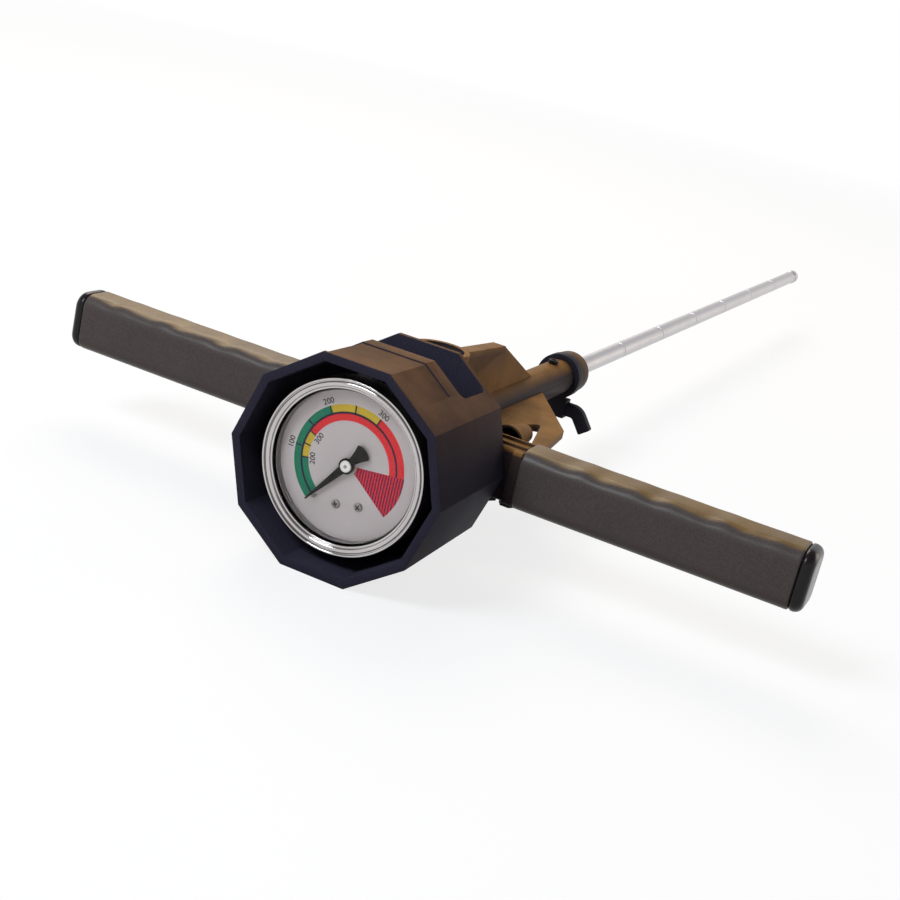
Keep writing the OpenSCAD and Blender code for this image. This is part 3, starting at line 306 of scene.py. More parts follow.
def facesIn(geom):
    return [part for part in geom if isinstance(part, bmesh.types.BMFace)]


def openEdges(edges):
    return [edge for edge in edges if len(edge.link_faces) == 1]


def sharpEdges(bm, angle):
    return [edge for edge in bm.edges
            if len(edge.link_faces) == 2 and edge.calc_face_angle(0) > math.radians(angle)]


def roundEdges(bm, edges, size, steps, clamp=False):
    bmesh.ops.bevel(bm, geom=edges, offset=size / 1000, offset_type="OFFSET", affect="EDGES", segments=steps,
                    profile=0.5, material=-1, clamp_overlap=clamp)


def meshFrom(bm, name):
    mesh = bpy.data.meshes.new(name)
    bm.to_mesh(mesh)
    bm.free()
    return mesh


# Adding a finished mesh as a piece that rides on a body
def addPiece(name, bm, materials, body, replaced=(), smooth=32):
    mesh = meshFrom(bm, name)
    for material in materials:
        mesh.materials.append(material)
    mesh.shade_smooth()
    mesh.set_sharp_from_angle(angle=math.radians(smooth))
    piece = bpy.data.objects.new(name, mesh)
    scene.collection.objects.link(piece)
    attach(piece, body)
    if replaced:
        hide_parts(*replaced)
    return piece


# Eased edges: a merged copy of a node, flat faces joined, its corners rounded as far as its narrowest spot
# allows. Where that is next to nothing, the rounding still softens the shading.
easing = {"merge": 0.002, "flat": 0.6, "corner": 24}  # mm, then degrees


def easedCopy(node, look):
    bm = bmesh.new()
    bm.from_mesh(nodes[node].data)
    bmesh.ops.remove_doubles(bm, verts=bm.verts, dist=easing["merge"] / 1000)
    bmesh.ops.dissolve_limit(bm, angle_limit=math.radians(easing["flat"]), verts=bm.verts, edges=bm.edges)
    roundEdges(bm, sharpEdges(bm, easing["corner"]), look["edge"], look["steps"], clamp=True)
    bmesh.ops.dissolve_degenerate(bm, dist=tiny / 10, edges=bm.edges)  # where points fell together
    for face in bm.faces:
        face.material_index = 0
    return bm


# Turned pieces: a profile of (radius, depth[, rounding]) in mm, spun round the rod's axis
turning = {"roundSteps": 6, "rodSteps": 64, "ringSteps": 128}


def turnedPiece(profile, steps, closed=True):
    bm = bmesh.new()
    points = [bm.verts.new((point[0] / 1000, frontRim + point[1] / 1000, axisZ)) for point in profile]
    ends = points[1:] + points[:1] if closed else points[1:]
    for pair in zip(points, ends):
        bm.edges.new(pair)
    for vert, point in zip(points, profile):
        if len(point) == 3:
            bmesh.ops.bevel(bm, geom=[vert], offset=point[2] / 1000, offset_type="OFFSET", affect="VERTICES",
                            segments=turning["roundSteps"], profile=0.5, material=-1)
    bmesh.ops.spin(bm, geom=bm.verts[:] + bm.edges[:], cent=(0, 0, axisZ), axis=(0, 1, 0), angle=math.tau,
                   steps=steps, use_merge=True)
    bmesh.ops.remove_doubles(bm, verts=bm.verts, dist=tiny)
    bmesh.ops.recalc_face_normals(bm, faces=bm.faces)
    return bm


# Housing, painted paler inside as fill and without painted light there, and the casting behind it, with painted
# shade on the sides of the tube and the pocket
housing = {"edge": 0.55, "steps": 3, "inside": 44.0}
housingBm = easedCopy("gauge_housing", housing)
for face in housingBm.faces:
    middle = face.calc_center_median()
    face.material_index = int(math.hypot(middle.x, middle.z - axisZ) * 1000 < housing["inside"])
addPiece("housing", housingBm, [housingNylon, paintedFillNylon], "frame", ["gauge_housing"])
casting = {"edge": 0.6, "steps": 3, "tube": 9.25, "pocket": 10.4, "pocketDepth": 80.3, "near": 0.6,
           "level": 0.3}
castingBm = easedCopy("frame_casting", casting)
castingBm.normal_update()
for face in castingBm.faces:
    middle = face.calc_center_median()
    fromAxis = math.hypot(middle.x, middle.z - axisZ) * 1000
    fromPocket = math.hypot(middle.x * 1000, (middle.y - frontRim) * 1000 - casting["pocketDepth"])
    onTube = abs(fromAxis - casting["tube"]) < casting["near"] and abs(face.normal.y) < casting["level"]
    inPocket = abs(fromPocket - casting["pocket"]) < casting["near"] and abs(face.normal.z) < casting["level"]
    face.material_index = int(onTube or inPocket)
addPiece("casting", castingBm, [frameNylon, paintedSideShadeNylon], "frame", ["frame_casting"])
print("housing and casting eased")

# Grips: a rounded bar with the soft waves of a dipped skin along its upper edge, and a glossy cap
grip = {"corner": 6.5, "cornerSteps": 14, "rings": 96, "lip": 0.9, "lipSteps": 3, "lipAngle": 60, "wave": 0.9,
        "waveLength": 21.0, "waveSide": (0, -0.35, 0.94), "waveEdge": 6, "swell": (0.5, 0.35, 0.15),
        "ripple": (1.7, 2), "endFade": 8, "smooth": 50}
endCap = {"edge": 1.4, "steps": 4}


def longEdges(bm, least):
    return [edge for edge in bm.edges if abs(edge.verts[0].co.x - edge.verts[1].co.x) > least]


def gripPiece(side):
    low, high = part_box(side + "_grip")
    size, middle = high - low, (low + high) / 2
    bm = bmesh.new()
    bmesh.ops.create_cube(bm, size=1, matrix=Matrix.Translation(middle) @ Matrix.Diagonal((*size, 1)))
    roundEdges(bm, longEdges(bm, size.x / 2), grip["corner"], grip["cornerSteps"])
    bmesh.ops.subdivide_edges(bm, edges=longEdges(bm, size.x / 2), cuts=grip["rings"], use_grid_fill=True)
    roundEdges(bm, sharpEdges(bm, grip["lipAngle"]), grip["lip"], grip["lipSteps"])
    bm.normal_update()
    for vert in bm.verts:
        along = (vert.co.x - low.x) / size.x
        fade = min(1, grip["endFade"] * along, grip["endFade"] * (1 - along))  # the ends stay true
        turn = math.tau * vert.co.x * 1000 / grip["waveLength"]
        swell = (grip["swell"][0] + grip["swell"][1] * math.sin(turn)
                 + grip["swell"][2] * math.sin(grip["ripple"][0] * turn + grip["ripple"][1]))
        upperEdge = max(0, vert.normal.dot(Vector(grip["waveSide"]))) ** grip["waveEdge"]
        vert.co -= Vector((0, vert.normal.y, vert.normal.z)) * grip["wave"] / 1000 * fade * swell * upperEdge
    bmesh.ops.recalc_face_normals(bm, faces=bm.faces)
    return bm


for side in ("left", "right"):
    addPiece(side + "GripSkin", gripPiece(side), [gripVinyl], "frame", [side + "_grip"],
             smooth=grip["smooth"])
    addPiece(side + "Cap", easedCopy(side + "_end_cap", endCap), [glossCap], "frame",
             [side + "_end_cap"])
print("grips and caps made")

# Guide tube's end: the collar, and a strap clip whose tail bends down
collar = {"edge": 0.5, "steps": 2}
addPiece("collar", easedCopy("end_collar", collar), [collarNylon], "frame", ["end_collar"])
clip = {"edge": 0.6, "steps": 3, "width": 7.0, "sink": 1.6, "elbow": 3.6, "bend": 53, "bendRadius": 2.2,
        "bendSteps": 8, "tipRun": 8.6, "corner": 40, "round": 0.9, "roundSteps": 4}
addPiece("clipStrap", easedCopy("clip_band", clip), [strapNylon], "frame", ["clip_band"])


def runOn(bm, faces, step):
    grown = bmesh.ops.extrude_face_region(bm, geom=faces, use_keep_orig=False)["geom"]
    bmesh.ops.translate(bm, verts=vertsIn(grown), vec=step)
    return facesIn(grown)


tabLow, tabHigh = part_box("clip_tab")
tailStart = Matrix.Translation((tabLow.x - clip["sink"] / 1000, (tabLow.y + tabHigh.y) / 2,
                                tabHigh.z - clip["width"] / 2000))
tailBm = bmesh.new()
bmesh.ops.create_grid(tailBm, x_segments=1, y_segments=1, size=0.5,
                      matrix=tailStart @ Matrix.Rotation(math.radians(90), 4, "Y")
                      @ Matrix.Diagonal((clip["width"] / 1000, tabHigh.y - tabLow.y, 1, 1)))
tailEnd = runOn(tailBm, tailBm.faces[:], ((clip["sink"] + clip["elbow"]) / 1000, 0, 0))
pivot = (tabLow.x + clip["elbow"] / 1000, 0, tabHigh.z - (clip["width"] + clip["bendRadius"]) / 1000)
bendAngle = math.radians(clip["bend"])
bent = bmesh.ops.spin(tailBm, geom=tailEnd, cent=pivot, axis=(0, 1, 0), angle=bendAngle,
                      steps=clip["bendSteps"])
downwards = Vector((math.cos(bendAngle), 0, -math.sin(bendAngle)))
runOn(tailBm, facesIn(bent["geom_last"]), downwards * clip["tipRun"] / 1000)
bmesh.ops.remove_doubles(tailBm, verts=tailBm.verts, dist=tiny)
inner = [face for face in tailBm.faces if all(len(edge.link_faces) > 2 for edge in face.edges)]
bmesh.ops.delete(tailBm, geom=inner, context="FACES_ONLY")  # the sections left inside at the bend
bmesh.ops.holes_fill(tailBm, edges=tailBm.edges, sides=4)
bmesh.ops.recalc_face_normals(tailBm, faces=tailBm.faces)
roundEdges(tailBm, sharpEdges(tailBm, clip["corner"]), clip["round"], clip["roundSteps"])
addPiece("clipTail", tailBm, [strapNylon], "frame", ["clip_tab"])
print("collar and clip made")

# Rod and cone, turned; the marks are grooves at equal steps from the tip
rod = {"radius": 4.7625, "end": 807.0, "spacing": 76.2, "count": 6, "groove": 1.0, "depth": 0.35, "edge": 0.12,
       "stud": 2.5}
rodFront = (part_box("probe_rod")[0].y - frontRim) * 1000
rodShoulder = (max(vert.co.y for vert in nodes["piston"].data.vertices) - frontRim) * 1000
grooveRadius = rod["radius"] - rod["depth"]
rodProfile = [(0, rodFront), (rod["stud"], rodFront), (rod["stud"], rodShoulder), (rod["radius"], rodShoulder)]
for step in range(rod["count"], 0, -1):
    mark = rod["end"] - step * rod["spacing"]
    halfGroove = rod["groove"] / 2
    rodProfile += [(rod["radius"], mark - halfGroove - rod["edge"]), (grooveRadius, mark - halfGroove),
                   (grooveRadius, mark + halfGroove), (rod["radius"], mark + halfGroove + rod["edge"])]
rodProfile += [(rod["radius"], rod["end"]), (0, rod["end"])]
rodBm = turnedPiece(rodProfile, turning["rodSteps"], closed=False)
addPiece("rodBar", rodBm, [rodSteel], "rod", ["probe_rod"])
cone = {"radius": 5.3, "shoulder": 7.0, "chamfer": 0.4, "tip": (0.25, 0.6)}
coneStart, coneEnd = rod["end"], (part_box("cone_tip")[1].y - frontRim) * 1000
coneProfile = [(0, coneStart), (cone["radius"] - cone["chamfer"], coneStart),
               (cone["radius"], coneStart + cone["chamfer"]), (cone["radius"], coneStart + cone["shoulder"]),
               (cone["tip"][0], coneEnd - cone["tip"][1]), (0, coneEnd)]
coneBm = turnedPiece(coneProfile, turning["rodSteps"], closed=False)
addPiece("coneTip", coneBm, [rodSteel], "rod", ["cone_tip"])
print("rod turned")

# Gauge front: a bezel with a rolled rim, a groove, a round face and an inner lip; under it the gasket
bezel = {"radius": 36.7, "window": 32.2, "front": 6.0, "lens": 7.8, "back": 17.0, "bore": 34.05, "bead": 1.15,
         "groove": 0.3, "grooveDeep": 1.0, "lip": 0.75, "lipDeep": 1.15, "skirt": 7.3, "lipRound": 0.25,
         "faceRounds": (1.05, 0.9), "beadRounds": (0.5, 0.55), "backRound": 0.4, "smooth": 50}
faceInner, faceOuter = bezel["window"] + bezel["lip"], bezel["radius"] - bezel["bead"] - bezel["groove"]
beadInner = faceOuter + bezel["groove"]
grooveFloor = bezel["front"] + bezel["grooveDeep"]
lipFront = bezel["front"] + bezel["lipDeep"]
bezelProfile = [(bezel["window"], bezel["lens"]), (bezel["window"], lipFront, bezel["lipRound"]),
                (faceInner, lipFront), (faceInner, bezel["front"], bezel["faceRounds"][0]),
                (faceOuter, bezel["front"], bezel["faceRounds"][1]), (faceOuter, grooveFloor),
                (beadInner, grooveFloor), (beadInner, bezel["front"], bezel["beadRounds"][0]),
                (bezel["radius"], bezel["front"], bezel["beadRounds"][1]),
                (bezel["radius"], bezel["back"], bezel["backRound"]), (bezel["bore"], bezel["back"]),
                (bezel["bore"], bezel["lens"])]
bezelBm = turnedPiece(bezelProfile, turning["ringSteps"])
# the skirt, deep inside the housing, gets painted shade
for face in bezelBm.faces:
    face.material_index = int(face.calc_center_median().y > frontRim + bezel["skirt"] / 1000)
addPiece("bezelRing", bezelBm, [bezelSteel, shadeSteel], "frame", ["gauge_bezel"],
         smooth=bezel["smooth"])
gasket = {"inner": 31.25, "outer": 33.15, "front": 9.4, "back": 12.8, "round": 0.3, "ridge": 0.8}
gasketMiddle = (gasket["front"] + gasket["back"]) / 2
gasketHollow = gasket["inner"] + gasket["round"]
gasketProfile = [(gasket["inner"], gasket["front"], gasket["round"]),
                 (gasket["outer"], gasket["front"], gasket["round"]),
                 (gasket["outer"], gasket["back"], gasket["round"]),
                 (gasket["inner"], gasket["back"], gasket["round"]),
                 (gasket["inner"], gasketMiddle + gasket["ridge"]),
                 (gasketHollow, gasketMiddle + gasket["ridge"] / 2),
                 (gasketHollow, gasketMiddle - gasket["ridge"] / 2),
                 (gasket["inner"], gasketMiddle - gasket["ridge"])]
gasketBm = turnedPiece(gasketProfile, turning["ringSteps"])
addPiece("gasketRing", gasketBm, [gasketRubber], "frame", ["lens_gasket"])
print("bezel turned")

# Dial print: two rings of bands, their ticks and numbers, and a hatched wedge, as thin ink on the dial's face
dial = {"face": 12.8, "ink": 0.03, "lift": 0.004, "zero": 232.5, "end": 6.2, "outerRing": (22.0, 25.0),
        "lineRing": (21.1, 22.0), "innerRing": (18.3, 21.1), "outerStep": 0.552, "innerFirst": 200,
        "innerStart": 189, "innerStep": 0.32, "bandStep": 2, "tick": 0.65, "wedge": (4.0, 25.2),
        "wedgeTo": -38, "hatch": 1.25, "outerNumbers": 26.9, "innerNumbers": 16.4, "numberSize": 3.4,
        "numberWeight": 0.035, "numberMerge": 0.014, "merge": 0.0001, "smooth": 20}
dialPlane = frontRim + (dial["face"] - dial["lift"]) / 1000


def dialPoint(radius, angle):
    return Vector((radius / 1000 * math.cos(math.radians(angle)), dialPlane,
                   axisZ + radius / 1000 * math.sin(math.radians(angle))))


def outerAngle(value):
    return dial["zero"] - value * dial["outerStep"]


def innerAngle(value):
    return dial["innerStart"] - (value - dial["innerFirst"]) * dial["innerStep"]


def addBand(bm, ring, start, stop):
    pair = [bm.verts.new(dialPoint(radius, start)) for radius in ring]
    edge = bm.edges.new(pair)
    bmesh.ops.spin(bm, geom=pair + [edge], cent=(0, 0, axisZ), axis=(0, 1, 0), angle=math.radians(start - stop),
                   steps=max(2, int(abs(start - stop) / dial["bandStep"])))


def inkPiece(name, bm, materials):
    bmesh.ops.remove_doubles(bm, verts=bm.verts, dist=dial["merge"] / 1000)
    bmesh.ops.recalc_face_normals(bm, faces=bm.faces)
    for face in bm.faces:
        if face.normal.y > 0:
            face.normal_flip()
    bmesh.ops.solidify(bm, geom=bm.faces[:], thickness=-dial["ink"] / 1000)
    bmesh.ops.recalc_face_normals(bm, faces=bm.faces)
    addPiece(name, bm, materials, "frame", smooth=dial["smooth"])


bands = {
    "greenBands": (greenInk, [("outerRing", dial["zero"], outerAngle(200)),
                              ("innerRing", dial["zero"], innerAngle(200))]),
    "yellowBands": (yellowInk, [("outerRing", outerAngle(200), outerAngle(300)),
                                ("innerRing", innerAngle(200), innerAngle(300))]),
    "redBands": (redInk, [("outerRing", outerAngle(300), dial["end"]),
                          ("innerRing", innerAngle(300), dial["end"])]),
    "darkLine": (darkInk, [("lineRing", dial["zero"], dial["end"])])}
for name, (ink, arcs) in bands.items():
    bandBm = bmesh.new()
    for ring, start, stop in arcs:
        addBand(bandBm, dial[ring], start, stop)
    inkPiece(name, bandBm, [ink])

ticks = bmesh.new()
tickPlaces = [(dial["outerRing"], outerAngle(value)) for value in (100, 150, 200, 250, 300)]
tickPlaces += [(dial["innerRing"], innerAngle(value)) for value in (200, 250, 300)]
for ring, angle in tickPlaces:
    size = Matrix.Diagonal(((ring[1] - ring[0]) / 1000, dial["ink"] / 1000, dial["tick"] / 1000, 1))
    spot = dialPoint(sum(ring) / 2, angle) - Vector((0, dial["ink"] / 1000, 0))
    bmesh.ops.create_cube(ticks, size=1, matrix=Matrix.Translation(spot)
                          @ Matrix.Rotation(-math.radians(angle), 4, "Y") @ size)
addPiece("dialTicks", ticks, [darkInk], "frame", smooth=dial["smooth"])

wedge = bmesh.new()
addBand(wedge, dial["wedge"], dial["end"], dial["wedgeTo"])
bmesh.ops.remove_doubles(wedge, verts=wedge.verts, dist=dial["merge"] / 1000)
halfHatch = dial["hatch"] / 2000
for stripe in range(0, int(dial["wedge"][1] / 1000 / halfHatch) + 1):
    bmesh.ops.bisect_plane(wedge, geom=wedge.verts[:] + wedge.edges[:] + wedge.faces[:],
                           plane_co=(stripe * halfHatch, 0, 0), plane_no=(1, 0, 0))
for face in wedge.faces:
    face.material_index = int(face.calc_center_median().x / halfHatch) % 2
inkPiece("hatchedWedge", wedge, [redInk, purpleInk])


def addNumber(bm, words, radius, angle):
    curve = bpy.data.curves.new("number" + words, "FONT")
    curve.body = words
    curve.size = dial["numberSize"] / 1000
    curve.align_x = "CENTER"
    curve.align_y = "CENTER"
    curve.extrude = dial["ink"] / 2000
    curve.offset = dial["numberWeight"] / 1000  # a bolder stroke
    letters = bpy.data.objects.new("number" + words, curve)
    scene.collection.objects.link(letters)
    bpy.context.view_layer.update()
    mesh = bpy.data.meshes.new_from_object(letters.evaluated_get(bpy.context.evaluated_depsgraph_get()))
    mesh.transform(Matrix.Translation(dialPoint(radius, angle)) @ Matrix.Rotation(math.radians(90), 4, "X")
                   @ Matrix.Rotation(math.radians(angle - 90), 4, "Z"))
    bm.from_mesh(mesh)
    bpy.data.objects.remove(letters)
    bpy.data.meshes.remove(mesh)


numbers = bmesh.new()
for value in (100, 200, 300):
    addNumber(numbers, str(value), dial["outerNumbers"], outerAngle(value))
for value in (200, 300):
    addNumber(numbers, str(value), dial["innerNumbers"], innerAngle(value))
bmesh.ops.remove_doubles(numbers, verts=numbers.verts, dist=dial["numberMerge"] / 1000)  # takes out slivers
addPiece("dialNumbers", numbers, [pointerEnamel], "frame", smooth=dial["smooth"])
print("dial printed")

# Stamped plates, drawn flat with z towards the eye, then joined and set in the dial's plane
plate = {"rim": 60, "rimSteps": 2, "smooth": 40}


def stampedPlate(bm, thick, edge):
    for face in bm.faces:
        if face.normal.z < 0:
            face.normal_flip()
    bmesh.ops.solidify(bm, geom=bm.faces[:], thickness=thick / 1000)
    heights = [v.co.z for v in bm.verts]
    bmesh.ops.translate(bm, verts=bm.verts, vec=(0, 0, -(min(heights) + max(heights)) / 2))
    bmesh.ops.recalc_face_normals(bm, faces=bm.faces)
    roundEdges(bm, sharpEdges(bm, plate["rim"]), edge, plate["rimSteps"])
    return meshFrom(bm, "plate")


def joinMeshes(meshes):
    whole = bmesh.new()
    for mesh in meshes:
        whole.from_mesh(mesh)
        bpy.data.meshes.remove(mesh)
    return whole


# Pointer: a stamped needle, a hub boss and a flared tail
pointer = {"angle": 232, "hub": 3.3, "hubSides": 64, "needleHalf": (1.9, 0.3), "length": 24.5,
           "tail": (2.0, 11.3), "tailHalf": (1.5, 3.7), "flare": 1.5, "tailRound": 0.06, "roundPower": 4,
           "tailSteps": 16, "thick": 0.5, "boss": 0.64, "edge": 0.06}
hubBm, needleBm, flareBm = bmesh.new(), bmesh.new(), bmesh.new()
bmesh.ops.create_circle(hubBm, cap_ends=True, segments=pointer["hubSides"], radius=pointer["hub"] / 1000)
bmesh.ops.create_grid(needleBm, x_segments=1, y_segments=1, size=0.5)
for vert in needleBm.verts:
    half = pointer["needleHalf"][vert.co.x > 0]
    vert.co = Vector((pointer["length"] * (vert.co.x > 0), math.copysign(half, vert.co.y), 0)) / 1000
bmesh.ops.create_grid(flareBm, x_segments=pointer["tailSteps"], y_segments=pointer["tailSteps"], size=0.5)
tailNear, tailFar = pointer["tail"]
halfNear, halfFar = pointer["tailHalf"]
for vert in flareBm.verts:
    out, side = vert.co.x + 0.5, 2 * vert.co.y  # 0 to 1 along the tail, -1 to 1 across it
    across = side * (halfNear + (halfFar - halfNear) * out ** pointer["flare"])
    radius = tailNear + (tailFar - tailNear) * out
    radius *= 1 - pointer["tailRound"] * out * abs(side) ** pointer["roundPower"]  # rounded outer corners
    vert.co = Vector((-math.sqrt(radius ** 2 - across ** 2), across, 0)) / 1000
bmesh.ops.recalc_face_normals(flareBm, faces=flareBm.faces)
bmesh.ops.recalc_face_normals(needleBm, faces=needleBm.faces)
pointerBm = joinMeshes([stampedPlate(hubBm, pointer["boss"], pointer["edge"]),
                        stampedPlate(needleBm, pointer["thick"], pointer["edge"]),
                        stampedPlate(flareBm, pointer["thick"], pointer["edge"])])
pointerDepth = sum(corner.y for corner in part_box("pointer")) / 2
pointerBm.transform(Matrix.Translation((0, pointerDepth, axisZ)) @ Matrix.Rotation(math.radians(90), 4, "X")
                    @ Matrix.Rotation(math.radians(pointer["angle"]), 4, "Z"))
addPiece("pointerPlate", pointerBm, [pointerEnamel], "pointer", ["pointer"],
         smooth=plate["smooth"])

# Dial screws: pan heads with a cross recess
screw = {"reach": 17.4, "angles": (-96, -62), "turns": (20, 65), "head": 1.9, "height": 0.85, "crown": 0.5,
         "crownSteps": 4, "crownAngle": 60, "rimFrom": 1.73, "shank": 0.85, "length": 3.6, "cross": (0.32, 1.2),
         "recess": 0.55, "sides": 40}
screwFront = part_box("dial_screws")[0].y


def crossScrew(turn):
    bm = bmesh.new()
    bmesh.ops.create_circle(bm, cap_ends=True, segments=screw["sides"], radius=screw["head"] / 1000)
    narrow, wide = (distance / 1000 for distance in screw["cross"])
    for distance in (narrow, wide):
        for normal in ((1, 0, 0), (-1, 0, 0), (0, 1, 0), (0, -1, 0)):
            bmesh.ops.bisect_plane(bm, geom=bm.verts[:] + bm.edges[:] + bm.faces[:], dist=tiny / 10,
                                   plane_co=Vector(normal) * distance, plane_no=normal)
    arms = []
    for face in bm.faces:
        near, far = sorted(abs(reach) for reach in face.calc_center_median().xy)
        if near < narrow and far < wide:
            arms.append(face)
    rim = openEdges(bm.edges)
    sunk = vertsIn(bmesh.ops.extrude_face_region(bm, geom=arms)["geom"])
    bmesh.ops.translate(bm, verts=sunk, vec=(0, 0, -screw["recess"] / 1000))
    bmesh.ops.delete(bm, geom=[face for face in arms if face.is_valid], context="FACES_ONLY")
    for face in {face for vert in sunk for face in vert.link_faces}:
        face.material_index = 1  # painted shade in the recess
    wall = bmesh.ops.extrude_edge_only(bm, edges=rim)["geom"]
    bmesh.ops.translate(bm, verts=vertsIn(wall), vec=(0, 0, -screw["height"] / 1000))
    for reachShare, drop in ((screw["shank"] / screw["head"], 0), (1, screw["length"])):
        edges = [part for part in wall if isinstance(part, bmesh.types.BMEdge)]
        wall = bmesh.ops.extrude_edge_only(bm, edges=openEdges(edges))["geom"]
        bmesh.ops.scale(bm, verts=vertsIn(wall), vec=(reachShare, reachShare, 1))
        bmesh.ops.translate(bm, verts=vertsIn(wall), vec=(0, 0, -drop / 1000))
    bmesh.ops.holes_fill(bm, edges=openEdges(bm.edges), sides=0)
    bmesh.ops.recalc_face_normals(bm, faces=bm.faces)
    shoulder = [edge for edge in sharpEdges(bm, screw["crownAngle"])
                if all(abs(v.co.z) < tiny and v.co.length > screw["rimFrom"] / 1000 for v in edge.verts)]
    roundEdges(bm, shoulder, screw["crown"], screw["crownSteps"])
    bmesh.ops.rotate(bm, verts=bm.verts, cent=(0, 0, 0), matrix=Matrix.Rotation(math.radians(turn), 3, "Z"))
    return meshFrom(bm, "screw")


screwMeshes = []
for angle, turn in zip(screw["angles"], screw["turns"]):
    seat = dialPoint(screw["reach"], angle)
    screwMesh = crossScrew(turn)
    screwMesh.transform(Matrix.Translation((seat.x, screwFront, seat.z))
                        @ Matrix.Rotation(math.radians(90), 4, "X"))
    screwMeshes.append(screwMesh)
addPiece("dialScrews", joinMeshes(screwMeshes), [zincSteel, shadeSteel], "frame",
         ["dial_screws"], smooth=plate["smooth"])
print("pointer and dial screws made")

# Return spring: one round wire wound in front of the piston, built at one length
spring = {"wire": 0.6, "turns": 3, "turnSteps": 32, "sides": 14, "travel": 3.0, "smooth": 60}
springLow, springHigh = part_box("return_spring")
springLength = springHigh.y - springLow.y
wireRadius = spring["wire"] / 1000
springSteps = spring["turns"] * spring["turnSteps"]
springBm = bmesh.new()
springStart = Matrix.Translation((springHigh.x - wireRadius, springLow.y + wireRadius, axisZ))
bmesh.ops.create_circle(springBm, segments=spring["sides"], radius=wireRadius, matrix=springStart)
bmesh.ops.spin(springBm, geom=springBm.verts[:] + springBm.edges[:], cent=(0, 0, axisZ), axis=(0, 1, 0),
               dvec=(0, (springLength - 2 * wireRadius) / springSteps, 0), angle=math.tau * spring["turns"],
               steps=springSteps)
bmesh.ops.holes_fill(springBm, edges=openEdges(springBm.edges), sides=0)
bmesh.ops.recalc_face_normals(springBm, faces=springBm.faces)
springPiece = addPiece("springWire", springBm, [zincSteel], "frame", ["return_spring"],
                       smooth=spring["smooth"])
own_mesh(springPiece)
print("return spring wound")

# Finishes on the nodes that stay as they are
finishes = {
    dialEnamel: ["gauge_dial"], lensClear: ["gauge_lens"], capAluminium: ["pointer_cap"],
    caseEnamel: ["gauge_case"],
    zincSteel: ["left_handle_bar", "right_handle_bar", "stop_pin", "case_screws", "cell_screws",
                "housing_screws", "piston_nut", "pinion_arbor"],
    blackScrew: ["guide_set_screw", "handle_bolts"],
    turnedBrass: ["gauge_stem", "front_guide", "rear_guide", "pressure_tube", "tube_tip", "tip_link",
                  "movement_plates", "sector_gear", "bleed_screw"],
    cellAluminium: ["hydraulic_cell", "piston"], blackRubber: ["rod_wiper", "piston_ring", "fill_plug"]}
for material, names in finishes.items():
    for name in names:
        mesh = nodes[name].data
        if not mesh.materials:
            mesh.materials.append(material)
        for i in range(len(mesh.materials)):
            mesh.materials[i] = material
print("finishes given to", sum(len(names) for names in finishes.values()), "nodes")

# Stage: a plain pale floor that runs out to white, a pale world and three soft lamps
stage = {"floorColour": ("#8a8076", "#92887e"), "floorWhite": "#f4f4f4", "floorSize": 30, "floorCloud": 0.6,
         "near": 0.7, "far": 2.2, "whiteNear": 0.78, "ambient": (0.72, 0.82, 1.0, 1), "ambientStrength": 0.25,
         "ceiling": (0.25, 0.25, 0.27, 1), "ceilingFrom": 0.25, "ceilingTo": 0.7, "aim": (0, -0.2, axisZ)}


def seenWhite(owner):
    rays = addNode(owner, "LightPath")
    straight = addNode(owner, "Math", {"operation": "MAXIMUM"},
                       {0: rays.outputs["Is Camera Ray"], 1: rays.outputs["Is Glossy Ray"]})
    return addNode(owner, "Math", {"operation": "MAXIMUM"},
                   {0: straight.outputs["Value"], 1: rays.outputs["Is Transmission Ray"]}).outputs["Value"]


floorBm = bmesh.new()
bmesh.ops.create_grid(floorBm, x_segments=1, y_segments=1, size=stage["floorSize"])
floorMesh = meshFrom(floorBm, "floor")
floorMaterial, floorShader, floorPlace = startMaterial("paleFloor", {"Roughness": 1, "Specular IOR Level": 0})
floorTone = addNode(floorMaterial, "TexNoise", {"Scale": stage["floorCloud"]}, {"Vector": floorPlace})
floorColour = addNode(floorMaterial, "MixRGB", {"Color1": linear(stage["floorColour"][0]),
                                                "Color2": linear(stage["floorColour"][1])},
                      {"Fac": floorTone.outputs["Fac"]})
floorSeen = seenWhite(floorMaterial)  # grey where it only throws light back, white to the eye
floorFace = addNode(floorMaterial, "MixRGB", {"Color2": linear(stage["floorWhite"])},
                    {"Color1": floorColour.outputs["Color"], "Fac": floorSeen})
wire(floorMaterial, floorShader, {"Base Color": floorFace.outputs["Color"]})
reach = addNode(floorMaterial, "VectorMath", {"operation": "LENGTH"}, {0: floorPlace})
fade = addNode(floorMaterial, "MapRange", {"From Min": stage["near"], "From Max": stage["far"],
                                           "To Min": stage["whiteNear"]}, {"Value": reach.outputs["Value"]})
share = addNode(floorMaterial, "Math", {"operation": "MULTIPLY"}, {0: fade.outputs["Result"], 1: floorSeen})
white = addNode(floorMaterial, "Emission", {"Color": (1, 1, 1, 1), "Strength": 1})
floorMix = addNode(floorMaterial, "MixShader", {}, {0: share.outputs["Value"], 1: floorShader.outputs["BSDF"],
                                                    2: white.outputs["Emission"]})
wire(floorMaterial, floorMaterial.node_tree.nodes["Material Output"], {"Surface": floorMix.outputs["Shader"]})
floorMesh.materials.append(floorMaterial)
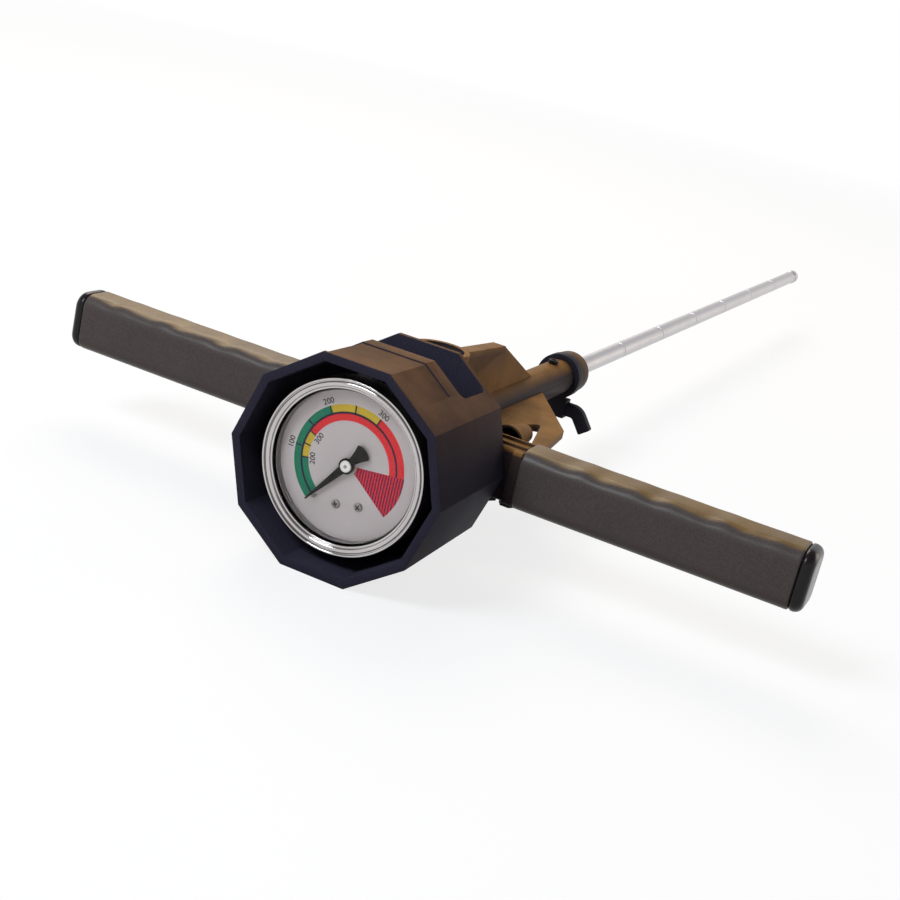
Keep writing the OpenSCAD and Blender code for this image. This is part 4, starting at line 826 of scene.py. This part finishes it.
floorObject = bpy.data.objects.new("floor", floorMesh)
scene.collection.objects.link(floorObject)

world = bpy.data.worlds.new("studio")
world.use_nodes = True
scene.world = world
ambient = world.node_tree.nodes["Background"]
ambient.inputs["Color"].default_value = stage["ambient"]
ambient.inputs["Strength"].default_value = stage["ambientStrength"]
skyward = addNode(world, "SeparateXYZ", {}, {"Vector": addNode(world, "TexCoord").outputs["Generated"]})
overhead = addNode(world, "MapRange", {"From Min": stage["ceilingFrom"], "From Max": stage["ceilingTo"]},
                   {"Value": skyward.outputs["Z"]})
reflected = addNode(world, "Math", {"operation": "MULTIPLY"},
                    {0: overhead.outputs["Result"], 1: addNode(world, "LightPath").outputs["Is Glossy Ray"]})
studioTone = addNode(world, "MixRGB", {"Color1": (1, 1, 1, 1), "Color2": stage["ceiling"]},
                     {"Fac": reflected.outputs["Value"]})  # a gloss from overhead sees a dim ceiling
backdrop = addNode(world, "Background", {"Strength": 1}, {"Color": studioTone.outputs["Color"]})
worldMix = addNode(world, "MixShader", {}, {0: seenWhite(world), 1: ambient.outputs["Background"],
                                            2: backdrop.outputs["Background"]})
wire(world, world.node_tree.nodes["World Output"], {"Surface": worldMix.outputs["Shader"]})

lamps = {
    "keyLamp": {"place": (-0.9, 0.75, 1.45), "size": 1.2, "power": 26, "colour": (1.0, 0.9, 0.78)},
    "sideLamp": {"place": (1.3, 0.9, 0.6), "size": 1.0, "power": 10, "colour": (1.0, 0.84, 0.64)},
    "frontLamp": {"place": (-0.5, -1.3, 1.1), "size": 0.5, "power": 16, "colour": (0.88, 0.93, 1.0)}}
for name, lamp in lamps.items():
    light = bpy.data.lights.new(name, "AREA")
    light.size = lamp["size"]
    light.energy = lamp["power"]
    light.color = lamp["colour"]
    lightObject = bpy.data.objects.new(name, light)
    lightObject.location = lamp["place"]
    aim = Vector(stage["aim"]) - Vector(lamp["place"])
    lightObject.rotation_euler = aim.to_track_quat("-Z", "Y").to_euler()
    scene.collection.objects.link(lightObject)
print("stage lit")
